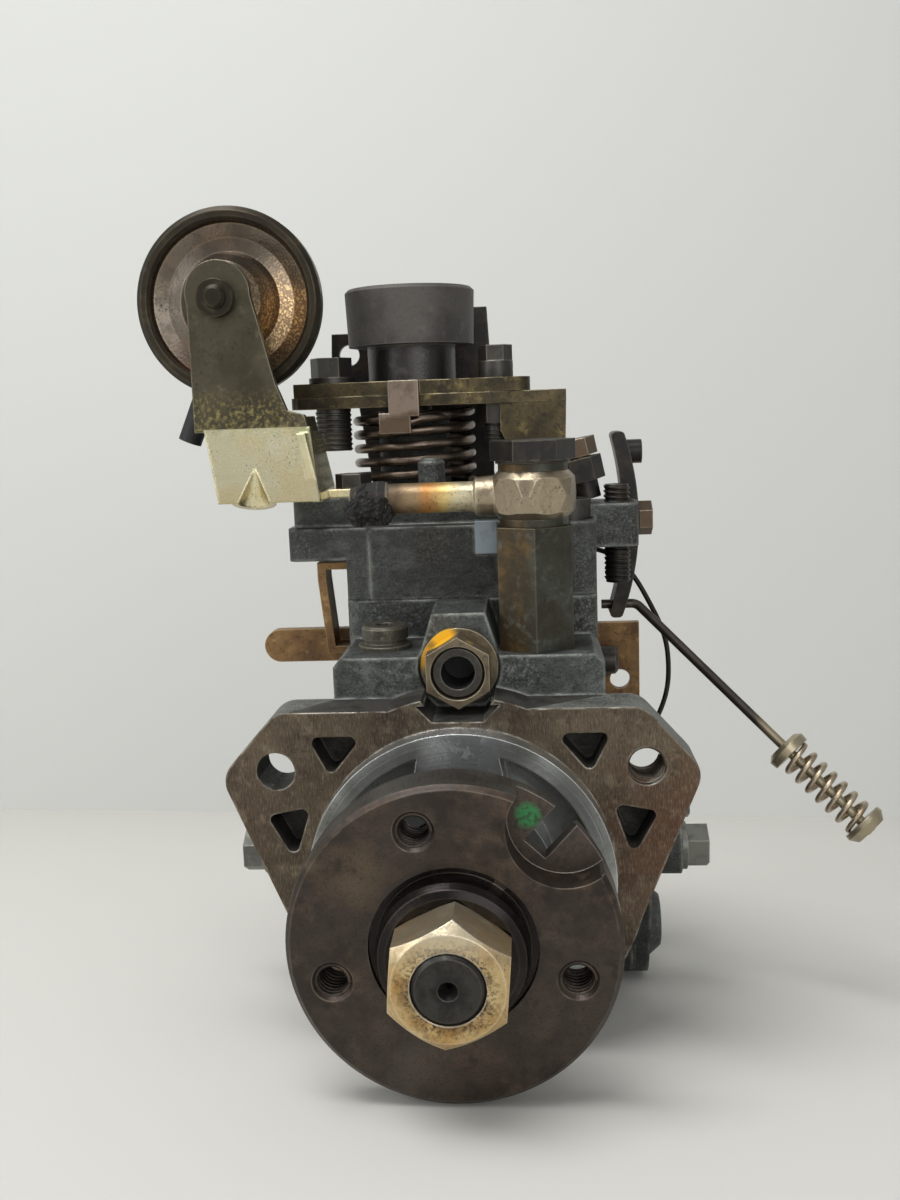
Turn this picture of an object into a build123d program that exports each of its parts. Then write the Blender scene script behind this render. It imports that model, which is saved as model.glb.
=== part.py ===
"""Distributor-type diesel injection pump for a four-cylinder engine.

Millimetres. X is to the right seen from the drive end, Y runs along the drive shaft
towards the delivery end, Z is up. The origin is the centre of the mounting pilot, on
the face of the mounting flange that seats on the engine.
"""
from build123d import *
from math import acos, atan, cos, degrees, hypot, pi, radians, sin, sqrt, tan
import os

os.makedirs("parts", exist_ok=True)

# ---------------------------------------------------------------- fits and fasteners
running_gap = 0.06          # radial clearance of a shaft in its bore
seat_gap = 0.04             # radial clearance of a piece pushed or screwed into its seat
body_gap = 0.3              # clearance between bodies that pass each other
m5_r = 2.5
m6_r = 3.0
m6_flats = 10.0
m6_head_height = 5.5
m6_washer_r = 6.2
m6_washer_thick = 1.5
m6_socket_r = 5.0
m6_depth = 9.0              # thread engagement

# ---------------------------------------------------------------- drive shaft and hub
shaft_r = 10.0
shaft_taper = 0.075         # radius lost per millimetre towards the nut
taper_large_y = -20.0       # the taper starts here and gets thinner to the front
thread_r = 7.0              # M14 end
hub_r = 33.0
hub_front_y = -36.6
hub_thick = 11.5
hub_boss_r = 15.0
hub_boss_height = 5.4
hub_back_boss_r = 17.0
hub_back_boss_height = 5.0
hub_groove_width = 1.6
hub_groove_depth = 1.5
hub_hole_r = 3.4            # M8 thread core
hub_hole_circle_r = 24.85
hub_hole_angles = (106.0, 195.6, -15.0)
hub_pocket_r = 11.3         # round relief at the rim that carries the timing notch
hub_pocket_circle_r = 32.2
hub_pocket_angle = 47.0
hub_pocket_floor = 4.0
timing_notch_width = 5.6
timing_notch_inner_r = 23.7
nut_flats = 22.0
nut_height = 10.7
nut_turn = 5.0
key_width = 4.0
key_length = 12.0
key_height = 5.0

# ---------------------------------------------------------------- stations along the shaft
flange_thick = 12.5
deck_back_y = 35.0
feed_y = 38.0               # front of the vane feed pump
feed_thick = 12.0
feed_cover_thick = 4.0
gear_width = 6.0
gear_gap = 1.0
ring_thick = 9.0
roller_r = 6.0
roller_set_back = 3.0       # roller axis in front of the ring's rear face
cam_lift = 2.2
cam_base_thick = 7.6
register_length = 6.0       # how far the distributor head plugs into the housing
housing_back_y = 104.0
head_flange_thick = 8.0
head_body_length = 14.0

gear_y = feed_y + feed_thick + feed_cover_thick + gear_gap
ring_y = gear_y + gear_width + gear_gap
roller_y = ring_y + ring_thick - roller_set_back
cam_peak_y = roller_y + roller_r + body_gap
cam_base_y = cam_peak_y + cam_lift
cam_back_y = cam_base_y + cam_base_thick
head_y = housing_back_y - register_length

# ---------------------------------------------------------------- housing casting
barrel_r = 38.5
pilot_r = 34.0
pilot_length = 5.0
pilot_wall = 4.0
pilot_recess = 6.0
pilot_web_outer = 8.0
pilot_web_inner = 11.0
front_boss_r = 20.5
seal_r = 16.0
seal_length = 8.0
bush_wall = 2.5
flange_top_z = 38.0
flange_top_half = 40.5
flange_ear_x = 53.5
flange_ear_z = 23.5
flange_foot_half = 34.5
flange_foot_z = -23.0
flange_lower_r = 41.0
flange_corner_r = 6.0
flange_hole_r = 4.25
flange_hole_spacing = 82.0
flange_hole_z = 24.7
flange_pocket_depth = 8.0
housing_left_x = -29.0
housing_right_x = 33.0
housing_wall = 3.5
housing_top_z = 57.0
deck_top_z = 47.5
cavity_back_y = 101.0

# ---------------------------------------------------------------- gears and governor
gear_module = 1.5
drive_teeth = 37
governor_teeth = 23
gear_backlash = 0.16
pressure_angle = 20.0
gear_centres = gear_module * (drive_teeth + governor_teeth) / 2
governor_z = gear_centres
governor_shaft_r = 3.5
governor_thread_r = 6.0
governor_nut_flats = 14.2
governor_nut_y = 5.0
governor_nut_height = 7.3
governor_washer_r = 8.9
governor_boss_y = 14.0
carrier_r = 16.3
carrier_disc = 2.5
flyweight_pivot_r = 11.0
flyweight_width = 10.0
flyweight_count = 4
sleeve_r = 5.0
sleeve_collar_r = 7.0
lever_y = 93.9
lever_pivot_z = 28.0
lever_thick = 2.6
sleeve_gap = 0.45            # the lever leans, so the sleeve's end stays clear of it

# ---------------------------------------------------------------- pumping elements
plunger_r = 5.0
spill_sleeve_r = 10.0
spill_sleeve_length = 6.2
cam_r = 24.0
ring_bore_r = 13.0
ring_flat_z = 24.5
roller_inner_r = 16.0
roller_length = 9.0
roller_pin_r = 2.0
roller_angles = (45.0, 135.0, 225.0, 315.0)
bore_r = 29.6               # barrel bore behind the feed pump
feed_r = 28.35              # barrel bore at the feed pump
timer_y = ring_y + ring_thick / 2
timer_z = -41.0
timer_bore_r = 10.0
timer_boss_r = 14.0
timer_half = 42.0
timer_ball_r = 4.4
timer_neck_r = 2.2
timer_stroke = 6.0
port_circle_r = 19.5
port_angles = (45.0, 135.0, 225.0, 315.0)
head_screw_angles = (25.0, 155.0, 225.0, 315.0)
head_screw_circle_r = 34.0

# ---------------------------------------------------------------- cover and controls
cover_step_z = 67.0
cover_ledge_z = 75.0
cover_top_z = 82.0
cover_roof = 4.0
cover_front_y = 36.0
cover_left_x = -43.0
throttle_x = -13.5
throttle_y = 70.0
throttle_shaft_r = 5.0
tower_r = 9.5
tower_top_z = 103.0
plate_z = 104.0
plate_thick = 3.0
cap_r = 17.1
cap_z = 119.8
cap_height = 14.7
neck_r = 11.7
pillar_x = 17.8
pillar_y = 22.0
pillar_flats = 17.0
pillar_top_z = 76.0
banjo_height = 10.7
banjo_r = 10.3
copper_thick = 1.8
capsule_x = -56.5
capsule_z = 131.0
capsule_r = 23.2
capsule_stud_r = 2.9
bracket_y = 36.0
bracket_thick = 2.2
side_pivot_y = 72.0
side_pivot_z = 72.0

BACK = (0, 1, 0)
UP = (0, 0, 1)
DOWN = (0, 0, -1)
RIGHT = (1, 0, 0)


def across(y, x=0.0, z=0.0):
    """Plane across the shaft at y: local x is X, local y is Z. Extrude with dir=BACK."""
    return Plane(origin=(x, y, z), x_dir=(1, 0, 0), z_dir=(0, -1, 0))


def side_on(x, y=0.0, z=0.0):
    """Plane square to X at x: local x is Y, local y is Z, and its normal is +X."""
    return Plane(origin=(x, y, z), x_dir=(0, 1, 0), z_dir=(1, 0, 0))


def turn(start, direction, profile, mode=Mode.ADD):
    """Turned solid: profile points are (distance along the axis from start, radius)."""
    along = Vector(*direction).normalized()
    away = Vector(1, 0, 0) if abs(along.Z) > 0.9 else Vector(0, 0, 1)
    plane = Plane(origin=start, x_dir=along, z_dir=along.cross(away).normalized())
    with BuildSketch(plane) as outline:
        with BuildLine():
            Polyline(*profile, close=True)
        make_face()
    revolve(outline.sketch, axis=Axis(start, along), mode=mode)


def rod(start, direction, low, high, radius, mode=Mode.ADD):
    """Plain cylinder from low to high along the axis."""
    turn(start, direction, ((low, 0), (low, radius), (high, radius), (high, 0)), mode)


def tube(start, direction, low, high, outer, inner, mode=Mode.ADD):
    """Plain ring from low to high along the axis."""
    turn(start, direction, ((low, inner), (low, outer), (high, outer), (high, inner)), mode)


def hexagon(start, direction, low, high, flats, bore=0.0, turned=0.0, mode=Mode.ADD):
    """Hexagonal prism from low to high along the axis, with an optional round bore."""
    along = Vector(*direction).normalized()
    away = Vector(1, 0, 0) if abs(along.Z) > 0.9 else Vector(0, 0, 1)
    plane = Plane(origin=Vector(*start) + along * low, x_dir=away, z_dir=along)
    with BuildSketch(plane) as outline:
        RegularPolygon(flats / 2, 6, major_radius=False, rotation=turned)
        if bore > 0:
            Circle(bore, mode=Mode.SUBTRACT)
    extrude(outline.sketch, amount=high - low, mode=mode)


def hex_bolt(seat, direction, depth, radius=m6_r, flats=m6_flats, head=m6_head_height, washer=True):
    """Hexagon bolt: direction points out of the head, depth is the shank below the seat."""
    rod(seat, direction, -depth, m6_washer_thick / 2, radius)
    lift = 0.0
    if washer:
        rod(seat, direction, 0, m6_washer_thick, m6_washer_r)
        lift = m6_washer_thick
    hexagon(seat, direction, lift, lift + head, flats)


def socket_screw(seat, direction, depth, radius=m6_r, head_r=m6_socket_r, head=2 * m6_r):
    """Socket-head screw with its key recess."""
    rod(seat, direction, -depth, head / 2, radius)
    rod(seat, direction, 0, head, head_r)
    hexagon(seat, direction, head / 2, head, radius * 1.6, mode=Mode.SUBTRACT)


def coil(start, direction, length, mean_r, wire_r, turns):
    """Helical spring of round wire about the axis."""
    along = Vector(*direction).normalized()
    line = Helix(pitch=length / turns, height=length, radius=mean_r, center=start, direction=along)
    with BuildSketch(Plane(origin=line @ 0, z_dir=line % 0)) as wire:
        Circle(wire_r)
    sweep(wire.sketch, path=line, is_frenet=True)


def gear_outline(teeth, tooth_angle):
    """Involute tooth outline as (x, y) points, with a tooth centred on tooth_angle."""
    pitch_r = gear_module * teeth / 2
    base_r = pitch_r * cos(radians(pressure_angle))
    tip_r = pitch_r + gear_module
    root_r = pitch_r - 1.25 * gear_module
    half_at_pitch = pi / (2 * teeth) - gear_backlash / (4 * pitch_r)
    flank = []
    for step in range(4):
        radius = max(base_r, root_r + 0.3) + (tip_r - max(base_r, root_r + 0.3)) * step / 3
        lean = involute(acos(min(1.0, base_r / radius)))
        flank.append((radius, half_at_pitch + involute(radians(pressure_angle)) - lean))
    points = []
    for tooth in range(teeth):
        centre = radians(tooth_angle) + 2 * pi * tooth / teeth
        root_half = flank[0][1]
        points.append((root_r * cos(centre - root_half), root_r * sin(centre - root_half)))
        for radius, half in flank:
            points.append((radius * cos(centre - half), radius * sin(centre - half)))
        for radius, half in reversed(flank):
            points.append((radius * cos(centre + half), radius * sin(centre + half)))
        points.append((root_r * cos(centre + root_half), root_r * sin(centre + root_half)))
    return points


def involute(angle):
    """Involute function of an angle in radians."""
    return tan(angle) - angle


def on_circle(radius, angle):
    """(x, z) of a point on a circle about the shaft, angle in degrees from +X."""
    return radius * cos(radians(angle)), radius * sin(radians(angle))


def save(part, name):
    """Name one finished sub-part and write it."""
    part.label = name
    export_step(part, f"parts/{name}.step")
    print(f"{name}: {len(part.solids())} solid(s), {part.volume:.0f} mm3")


# ================================================================ pump housing
governor_axis = (0, 0, governor_z)
timer_axis = (0, timer_y, timer_z)
ear_front_y = 48.0
ear_back_y = 2 * timer_y - ear_front_y
ear_z = -12.0
ear_r = 7.5
cover_screws = ((-22.0, 45.0), (27.0, 45.0), (-24.5, 97.5), (28.5, 97.5))
column_r = 4.6
column_z = 38.0
union_boss_half = 9.3
union_boss_top_half = 6.2
union_boss_top_z = 58.5
valve_x = -18.2
valve_y = 24.0
valve_r = 4.0
pillar_thread_r = 6.0
pillar_thread_depth = 9.5

with BuildPart() as pump_housing:
    # Mounting flange: two ears for the engine bolts over a round lower half
    with BuildSketch(across(0)) as flange_outline:
        with BuildLine():
            Polyline(
                (-flange_top_half, flange_top_z),
                (flange_top_half, flange_top_z),
                (flange_ear_x, flange_ear_z),
                (flange_foot_half, flange_foot_z),
                (-flange_foot_half, flange_foot_z),
                (-flange_ear_x, flange_ear_z),
                close=True,
            )
        make_face()
        fillet(flange_outline.vertices(), flange_corner_r)
        Circle(flange_lower_r)
    extrude(amount=flange_thick, dir=BACK)
    # Pilot and the boss for the shaft seal
    rod((0, 0, 0), BACK, -pilot_length, 1.0, pilot_r)
    # Barrel, deck, governor housing and the hood of the governor shaft
    rod((0, 0, 0), BACK, flange_thick / 2, housing_back_y, barrel_r)
    with BuildSketch(across(flange_thick - 1)) as deck_outline:
        with Locations(((housing_left_x + housing_right_x) / 2, deck_top_z / 2)):
            Rectangle(housing_right_x - housing_left_x, deck_top_z)
        chamfer(deck_outline.vertices().group_by(Axis.Z)[-1], 2.0)
    extrude(amount=deck_back_y - flange_thick + 2, dir=BACK)
    with BuildSketch(Plane.XY.offset(0)) as governor_plan:
        with BuildLine():
            Polyline(
                (housing_left_x, deck_back_y),
                (housing_right_x, deck_back_y),
                (housing_right_x, housing_back_y),
                (housing_left_x, housing_back_y),
                close=True,
            )
        make_face()
        fillet(governor_plan.vertices(), 4.0)
    extrude(amount=housing_top_z)
    with BuildSketch(across(governor_boss_y)):
        with BuildLine():
            Polyline(
                (-union_boss_half, flange_top_z - 3),
                (union_boss_half, flange_top_z - 3),
                (union_boss_half, governor_z + 2),
                (union_boss_top_half, union_boss_top_z - 1.5),
                (-union_boss_top_half, union_boss_top_z - 1.5),
                (-union_boss_half, governor_z + 2),
                close=True,
            )
        make_face()
    extrude(amount=deck_back_y - governor_boss_y + 3, dir=BACK)
    # Ribs from the flange ears back to the barrel
    rib_low_z = 4.0
    rib_thick = 5.0
    for side in (-1, 1):
        with BuildSketch(Plane.XY.offset(rib_low_z)):
            with BuildLine():
                Polyline(
                    (side * (barrel_r - 3), flange_thick - 1), (side * (flange_ear_x - 8), flange_thick - 1),
                    (side * (barrel_r - 3), flange_thick + 20), close=True,
                )
            make_face()
        extrude(amount=rib_thick)
    # Timing cylinder across the bottom, with the saddle that joins it to the barrel
    rod((0, timer_y, timer_z), RIGHT, -timer_half, timer_half, timer_boss_r)
    with BuildSketch(across(timer_y - timer_boss_r + 2)):
        with BuildLine():
            Polyline(
                (-30, -22), (30, -22), (24, timer_z), (-24, timer_z), close=True
            )
        make_face()
    extrude(amount=2 * timer_boss_r - 4, dir=BACK)
    for ear_y in (ear_front_y, ear_back_y):
        rod((0, ear_y, ear_z), RIGHT, -timer_half, timer_half, ear_r)
    # Bosses of the head screws
    for angle in head_screw_angles:
        boss_x, boss_z = on_circle(head_screw_circle_r, angle)
        rod((boss_x, 0, boss_z), BACK, housing_back_y - 18, housing_back_y, 6.0)
    # Lightening pockets in the flange face, two each side
    for side in (-1, 1):
        with BuildSketch(across(0)) as pockets:
            with BuildLine():
                Polyline((side * 21.2, 32.4), (side * 33.4, 32.4), (side * 28.8, 23.3), close=True)
            make_face()
            with BuildLine():
                Polyline((side * 33.6, 16.3), (side * 43.6, 14.4), (side * 37.7, 3.9), close=True)
            make_face()
            fillet(pockets.vertices(), 1.4)
        extrude(amount=flange_pocket_depth, dir=BACK, mode=Mode.SUBTRACT)
    # Engine bolt holes and the notch that clears the governor lock nut
    for side in (-1, 1):
        hole = (side * flange_hole_spacing / 2, 0, flange_hole_z)
        rod(hole, BACK, -1, flange_thick + 1, flange_hole_r, Mode.SUBTRACT)
        # spot face behind each ear
        rod(hole, BACK, flange_thick, flange_thick + 6, 9.0, Mode.SUBTRACT)
    with BuildSketch(across(-1)):
        with BuildLine():
            Polyline((-9.2, 39), (9.2, 39), (5.6, 35.3), (-5.6, 35.3), close=True)
        make_face()
    extrude(amount=governor_boss_y + 1, dir=BACK, mode=Mode.SUBTRACT)
    rod(governor_axis, BACK, -1, governor_boss_y, governor_washer_r + 0.5, Mode.SUBTRACT)
    # Recess inside the pilot, bridged by three webs
    with BuildSketch(across(-pilot_length)):
        Circle(pilot_r - pilot_wall)
        Circle(front_boss_r, mode=Mode.SUBTRACT)
        for web_angle in (0, 120, 240):
            with Locations(Rot(0, 0, web_angle)):
                with BuildLine():
                    Polyline(
                        (-pilot_web_inner, front_boss_r - 3),
                        (pilot_web_inner, front_boss_r - 3),
                        (pilot_web_outer, pilot_r),
                        (-pilot_web_outer, pilot_r),
                        close=True,
                    )
                make_face(mode=Mode.SUBTRACT)
    extrude(amount=pilot_length + pilot_recess, dir=BACK, mode=Mode.SUBTRACT)
    # Seal seat, bush seat, feed pump seat and barrel bore
    rod((0, 0, 0), BACK, -pilot_length - 1, seal_length - 4, seal_r, Mode.SUBTRACT)
    rod((0, 0, 0), BACK, 0, feed_y + 1, shaft_r + bush_wall, Mode.SUBTRACT)
    rod((0, 0, 0), BACK, feed_y, gear_y - 0.5, feed_r, Mode.SUBTRACT)
    rod((0, 0, 0), BACK, gear_y - 0.6, housing_back_y + 1, bore_r, Mode.SUBTRACT)
    # Governor chamber above the bore
    with BuildSketch(Plane.XY.offset(housing_top_z + 1)):
        with BuildLine():
            Polyline(
                (housing_left_x + housing_wall, gear_y - 2),
                (housing_right_x - housing_wall, gear_y - 2),
                (housing_right_x - housing_wall, cavity_back_y),
                (housing_left_x + housing_wall, cavity_back_y),
                close=True,
            )
        make_face()
        for screw_x, screw_y in cover_screws[2:]:
            with Locations((screw_x, screw_y)):
                Circle(column_r, mode=Mode.SUBTRACT)
    extrude(amount=housing_top_z + 1 - column_z, dir=DOWN, mode=Mode.SUBTRACT)
    with BuildSketch(Plane.XY.offset(column_z + 0.5)):
        with Locations((0, (gear_y - 2 + cavity_back_y) / 2)):
            Rectangle(47.0, cavity_back_y - gear_y + 2)
    extrude(amount=column_z - 15, dir=DOWN, mode=Mode.SUBTRACT)
    # Governor shaft thread, timing bore and the slot for the ring's pin
    rod(governor_axis, BACK, governor_boss_y - 1, gear_y, governor_thread_r + seat_gap, Mode.SUBTRACT)
    rod((0, timer_y, timer_z), RIGHT, -timer_half - 1, timer_half + 1, timer_bore_r, Mode.SUBTRACT)
    with BuildSketch(Plane.XY.offset(timer_z)):
        with Locations((timer_stroke / 2, timer_y)):
            Rectangle(timer_stroke + 10, 2 * timer_ball_r + 1)
    extrude(amount=-timer_z - 20, mode=Mode.SUBTRACT)
    # Screw holes: timing covers, head, top cover, regulating valve, inlet pillar, pivots
    for ear_y in (ear_front_y, ear_back_y):
        for side in (-1, 1):
            rod((0, ear_y, ear_z), (side, 0, 0), timer_half - m6_depth, timer_half + 1,
                m6_r + seat_gap, Mode.SUBTRACT)
    for angle in head_screw_angles:
        boss_x, boss_z = on_circle(head_screw_circle_r, angle)
        rod((boss_x, 0, boss_z), BACK, housing_back_y - m6_depth, housing_back_y + 1,
            m6_r + seat_gap, Mode.SUBTRACT)
    for screw_x, screw_y in cover_screws:
        rod((screw_x, screw_y, 0), UP, housing_top_z - m6_depth, housing_top_z + 1,
            m6_r + seat_gap, Mode.SUBTRACT)
    rod((valve_x, valve_y, 0), UP, deck_top_z - 14, deck_top_z + 1,
        valve_r + seat_gap, Mode.SUBTRACT)
    rod((pillar_x, pillar_y, 0), UP, deck_top_z - pillar_thread_depth, deck_top_z + 1,
        pillar_thread_r + seat_gap, Mode.SUBTRACT)
    for side in (-1, 1):
        rod((0, lever_y, lever_pivot_z), (side, 0, 0), 20, 45, m6_r + seat_gap, Mode.SUBTRACT)
save(pump_housing.part, "pump_housing")

# ================================================================ drive train
shaft_front_y = hub_front_y - hub_boss_height - nut_height - 0.5
hub_boss_y = hub_front_y - hub_boss_height
hub_back_y = hub_front_y + hub_thick
taper_end_y = hub_boss_y + 1.0
key_y = (hub_front_y + hub_back_y) / 2 + 2.0
claw_width = 6.6
claw_outer_r = 10.2
claw_inner_r = 4.2
shaft_claw_y = gear_y + gear_width


def taper_radius(y):
    """Radius of the shaft's drive taper at y."""
    return shaft_r - shaft_taper * (taper_large_y - y)


key_top = taper_radius(key_y) + key_height / 2

with BuildPart() as drive_shaft:
    turn((0, 0, 0), BACK, (
        (shaft_front_y, 0),
        (shaft_front_y, thread_r - 0.9),
        (shaft_front_y + 0.9, thread_r - seat_gap),
        (taper_end_y, thread_r - seat_gap),
        (taper_end_y, taper_radius(taper_end_y) - seat_gap),
        (taper_large_y, shaft_r - seat_gap),
        (taper_large_y, shaft_r),
        (shaft_claw_y, shaft_r),
        (shaft_claw_y, 0),
    ))
    # Centre drilling in the nose
    turn((0, shaft_front_y, 0), BACK, ((0, 0), (0, 1.9), (2.2, 0.6), (5, 0.6), (5, 0)), Mode.SUBTRACT)
    with BuildSketch(Plane.XY.offset(key_top - key_height - seat_gap)):
        with Locations((0, key_y)):
            SlotOverall(key_length + 0.2, key_width + 2 * seat_gap, rotation=90)
    extrude(amount=key_height, mode=Mode.SUBTRACT)
    # Two claws that drive the cam plate
    with BuildSketch(across(shaft_claw_y)):
        for side in (-1, 1):
            with Locations((side * (claw_inner_r + claw_outer_r) / 2, 0)):
                Rectangle(claw_outer_r - claw_inner_r, claw_width)
    extrude(amount=cam_base_y - shaft_claw_y - 4.5, dir=BACK)
save(drive_shaft.part, "drive_shaft")

with BuildPart() as shaft_key:
    with BuildSketch(Plane.XY.offset(key_top - key_height)):
        with Locations((0, key_y)):
            SlotOverall(key_length, key_width, rotation=90)
    extrude(amount=key_height - seat_gap)
save(shaft_key.part, "shaft_key")

pocket_x, pocket_z = on_circle(hub_pocket_circle_r, hub_pocket_angle)
with BuildPart() as drive_hub:
    turn((0, 0, 0), BACK, (
        (hub_boss_y, taper_radius(hub_boss_y)),
        (hub_boss_y, hub_boss_r - 2.2),
        (hub_boss_y + 0.7, hub_boss_r - 0.8),
        (hub_boss_y + 2.2, hub_boss_r),
        (hub_front_y + hub_groove_depth, hub_boss_r),
        (hub_front_y + hub_groove_depth, hub_boss_r + hub_groove_width),
        (hub_front_y, hub_boss_r + hub_groove_width),
        (hub_front_y, hub_r - 1.0),
        (hub_front_y + 1.0, hub_r),
        (hub_back_y - 1.0, hub_r),
        (hub_back_y, hub_r - 1.0),
        (hub_back_y, hub_back_boss_r + 1.0),
        (hub_back_y + 1.0, hub_back_boss_r),
        (hub_back_y + hub_back_boss_height, hub_back_boss_r - 1.0),
        (hub_back_y + hub_back_boss_height, taper_radius(hub_back_y + hub_back_boss_height)),
    ))
    for angle in hub_hole_angles:
        hole_x, hole_z = on_circle(hub_hole_circle_r, angle)
        rod((hole_x, 0, hole_z), BACK, hub_front_y - 1, hub_back_y + 1, hub_hole_r, Mode.SUBTRACT)
        turn((hole_x, hub_front_y, hole_z), BACK,
             ((-0.1, 0), (-0.1, hub_hole_r + 0.8), (0.8, hub_hole_r), (0.8, 0)), Mode.SUBTRACT)
    # Relief at the rim, with the timing notch through its floor
    rod((pocket_x, 0, pocket_z), BACK, hub_front_y - 1, hub_back_y - hub_pocket_floor,
        hub_pocket_r, Mode.SUBTRACT)
    with BuildSketch(across(hub_front_y)):
        with Locations(Rot(0, 0, hub_pocket_angle)):
            with Locations((timing_notch_inner_r + 10, 0)):
                Rectangle(20, timing_notch_width)
    extrude(amount=hub_thick + 1, dir=BACK, mode=Mode.SUBTRACT)
    with BuildSketch(Plane.XY.offset(0)):
        with Locations((0, key_y)):
            Rectangle(key_width + 2 * seat_gap, key_length + 0.4)
    extrude(amount=key_top + 0.3, mode=Mode.SUBTRACT)
save(drive_hub.part, "drive_hub")

with BuildPart() as hub_nut:
    hexagon((0, 0, 0), BACK, hub_boss_y - nut_height, hub_boss_y, nut_flats, thread_r, nut_turn)
    nut_corner_r = nut_flats / 2 / cos(radians(30))
    turn((0, 0, 0), BACK, (
        (hub_boss_y - nut_height, thread_r),
        (hub_boss_y - nut_height, nut_flats / 2 - 0.5),
        (hub_boss_y - nut_height + 2.0, nut_corner_r + 0.1),
        (hub_boss_y - 1.0, nut_corner_r + 0.1),
        (hub_boss_y, nut_flats / 2 + 0.4),
        (hub_boss_y, thread_r),
    ), Mode.INTERSECT)
save(hub_nut.part, "hub_nut")

with BuildPart() as governor_drive_gear:
    with BuildSketch(across(gear_y)):
        with BuildLine():
            Polyline(*gear_outline(drive_teeth, 90.0), close=True)
        make_face()
        Circle(shaft_r + seat_gap, mode=Mode.SUBTRACT)
        with PolarLocations(18.0, 6):
            Circle(3.6, mode=Mode.SUBTRACT)
    extrude(amount=gear_width, dir=BACK)
save(governor_drive_gear.part, "governor_drive_gear")

rotor_r = 19.6
vane_width = 2.4
vane_height = 6.5
liner_r = 22.0
liner_shift = 2.0
with BuildPart() as feed_rotor:
    with BuildSketch(across(feed_y + running_gap)):
        Circle(rotor_r)
        Circle(shaft_r + seat_gap, mode=Mode.SUBTRACT)
        with PolarLocations(rotor_r - vane_height / 2 + 0.6, 4):
            Rectangle(vane_height + 1.2, vane_width + 2 * seat_gap, mode=Mode.SUBTRACT)
    extrude(amount=feed_thick - 2 * running_gap, dir=BACK)
save(feed_rotor.part, "feed_rotor")

with BuildPart() as feed_vanes:
    with BuildSketch(across(feed_y + running_gap)):
        with PolarLocations(rotor_r - vane_height / 2, 4):
            Rectangle(vane_height, vane_width)
    extrude(amount=feed_thick - 2 * running_gap, dir=BACK)
save(feed_vanes.part, "feed_vanes")

with BuildPart() as cam_plate:
    rod((0, 0, 0), BACK, cam_base_y, cam_back_y, cam_r)
    rod((0, 0, 0), BACK, cam_back_y - 1, cam_back_y + 2, 8.5)
    # One lobe for each cylinder
    for angle in roller_angles:
        lobe_dir = Vector(cos(radians(angle)), 0, sin(radians(angle)))
        lobe_plane = Plane(origin=lobe_dir * ring_bore_r, x_dir=BACK, z_dir=lobe_dir)
        with BuildSketch(lobe_plane):
            with BuildLine():
                ThreePointArc((cam_base_y, -9), (cam_peak_y, 0), (cam_base_y, 9))
                Polyline((cam_base_y, 9), (cam_base_y + 1, 9), (cam_base_y + 1, -9), (cam_base_y, -9))
            make_face()
        extrude(amount=21.6 - ring_bore_r)
    with BuildSketch(across(shaft_claw_y + 4.5)):
        for side in (-1, 1):
            with Locations((0, side * (claw_inner_r + claw_outer_r) / 2)):
                Rectangle(claw_width, claw_outer_r - claw_inner_r)
    extrude(amount=cam_base_y - shaft_claw_y - 1, dir=BACK)
save(cam_plate.part, "cam_plate")

plunger_foot_y = cam_back_y + 2.0
with BuildPart() as plunger:
    turn((0, 0, 0), BACK, (
        (plunger_foot_y, 0),
        (plunger_foot_y, 8.0),
        (plunger_foot_y + 2.2, 8.0),
        (plunger_foot_y + 2.2, plunger_r),
        (head_y + 22, plunger_r),
        (head_y + 23, plunger_r - 1),
        (head_y + 23, 0),
    ))
    # Spill port and a distributing groove
    rod((0, lever_y, 0), DOWN, -8, 8, 1.2, Mode.SUBTRACT)
    with BuildSketch(Plane.XY.offset(plunger_r - 0.8)):
        with Locations((0, head_y + 16)):
            Rectangle(1.6, 6)
    extrude(amount=2, mode=Mode.SUBTRACT)
save(plunger.part, "plunger")

# ================================================================ seal, bush and feed pump
with BuildPart() as shaft_seal:
    turn((0, 0, 0), BACK, (
        (-4.0, shaft_r + running_gap),
        (-4.0, seal_r - 0.6),
        (-3.4, seal_r - seat_gap),
        (seal_length - 4.5, seal_r - seat_gap),
        (seal_length - 4.5, shaft_r + 3),
        (-1.0, shaft_r + 3),
        (-1.0, shaft_r + running_gap),
    ))
save(shaft_seal.part, "shaft_seal")

with BuildPart() as shaft_bush:
    tube((0, 0, 0), BACK, 6.0, feed_y - 1, shaft_r + bush_wall - seat_gap, shaft_r + running_gap)
save(shaft_bush.part, "shaft_bush")

with BuildPart() as feed_cam_ring:
    with BuildSketch(across(feed_y)):
        Circle(feed_r - seat_gap)
        with Locations((0, liner_shift)):
            Circle(liner_r, mode=Mode.SUBTRACT)
    extrude(amount=feed_thick, dir=BACK)
save(feed_cam_ring.part, "feed_cam_ring")

with BuildPart() as feed_cover_plate:
    tube((0, 0, 0), BACK, feed_y + feed_thick, gear_y - gear_gap, feed_r - seat_gap, shaft_r + body_gap)
    for angle in (90.0, 210.0, 330.0):
        port_x, port_z = on_circle(14.5, angle)
        rod((port_x, 0, port_z), BACK, feed_y, gear_y, 1.6, Mode.SUBTRACT)
save(feed_cover_plate.part, "feed_cover_plate")

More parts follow.
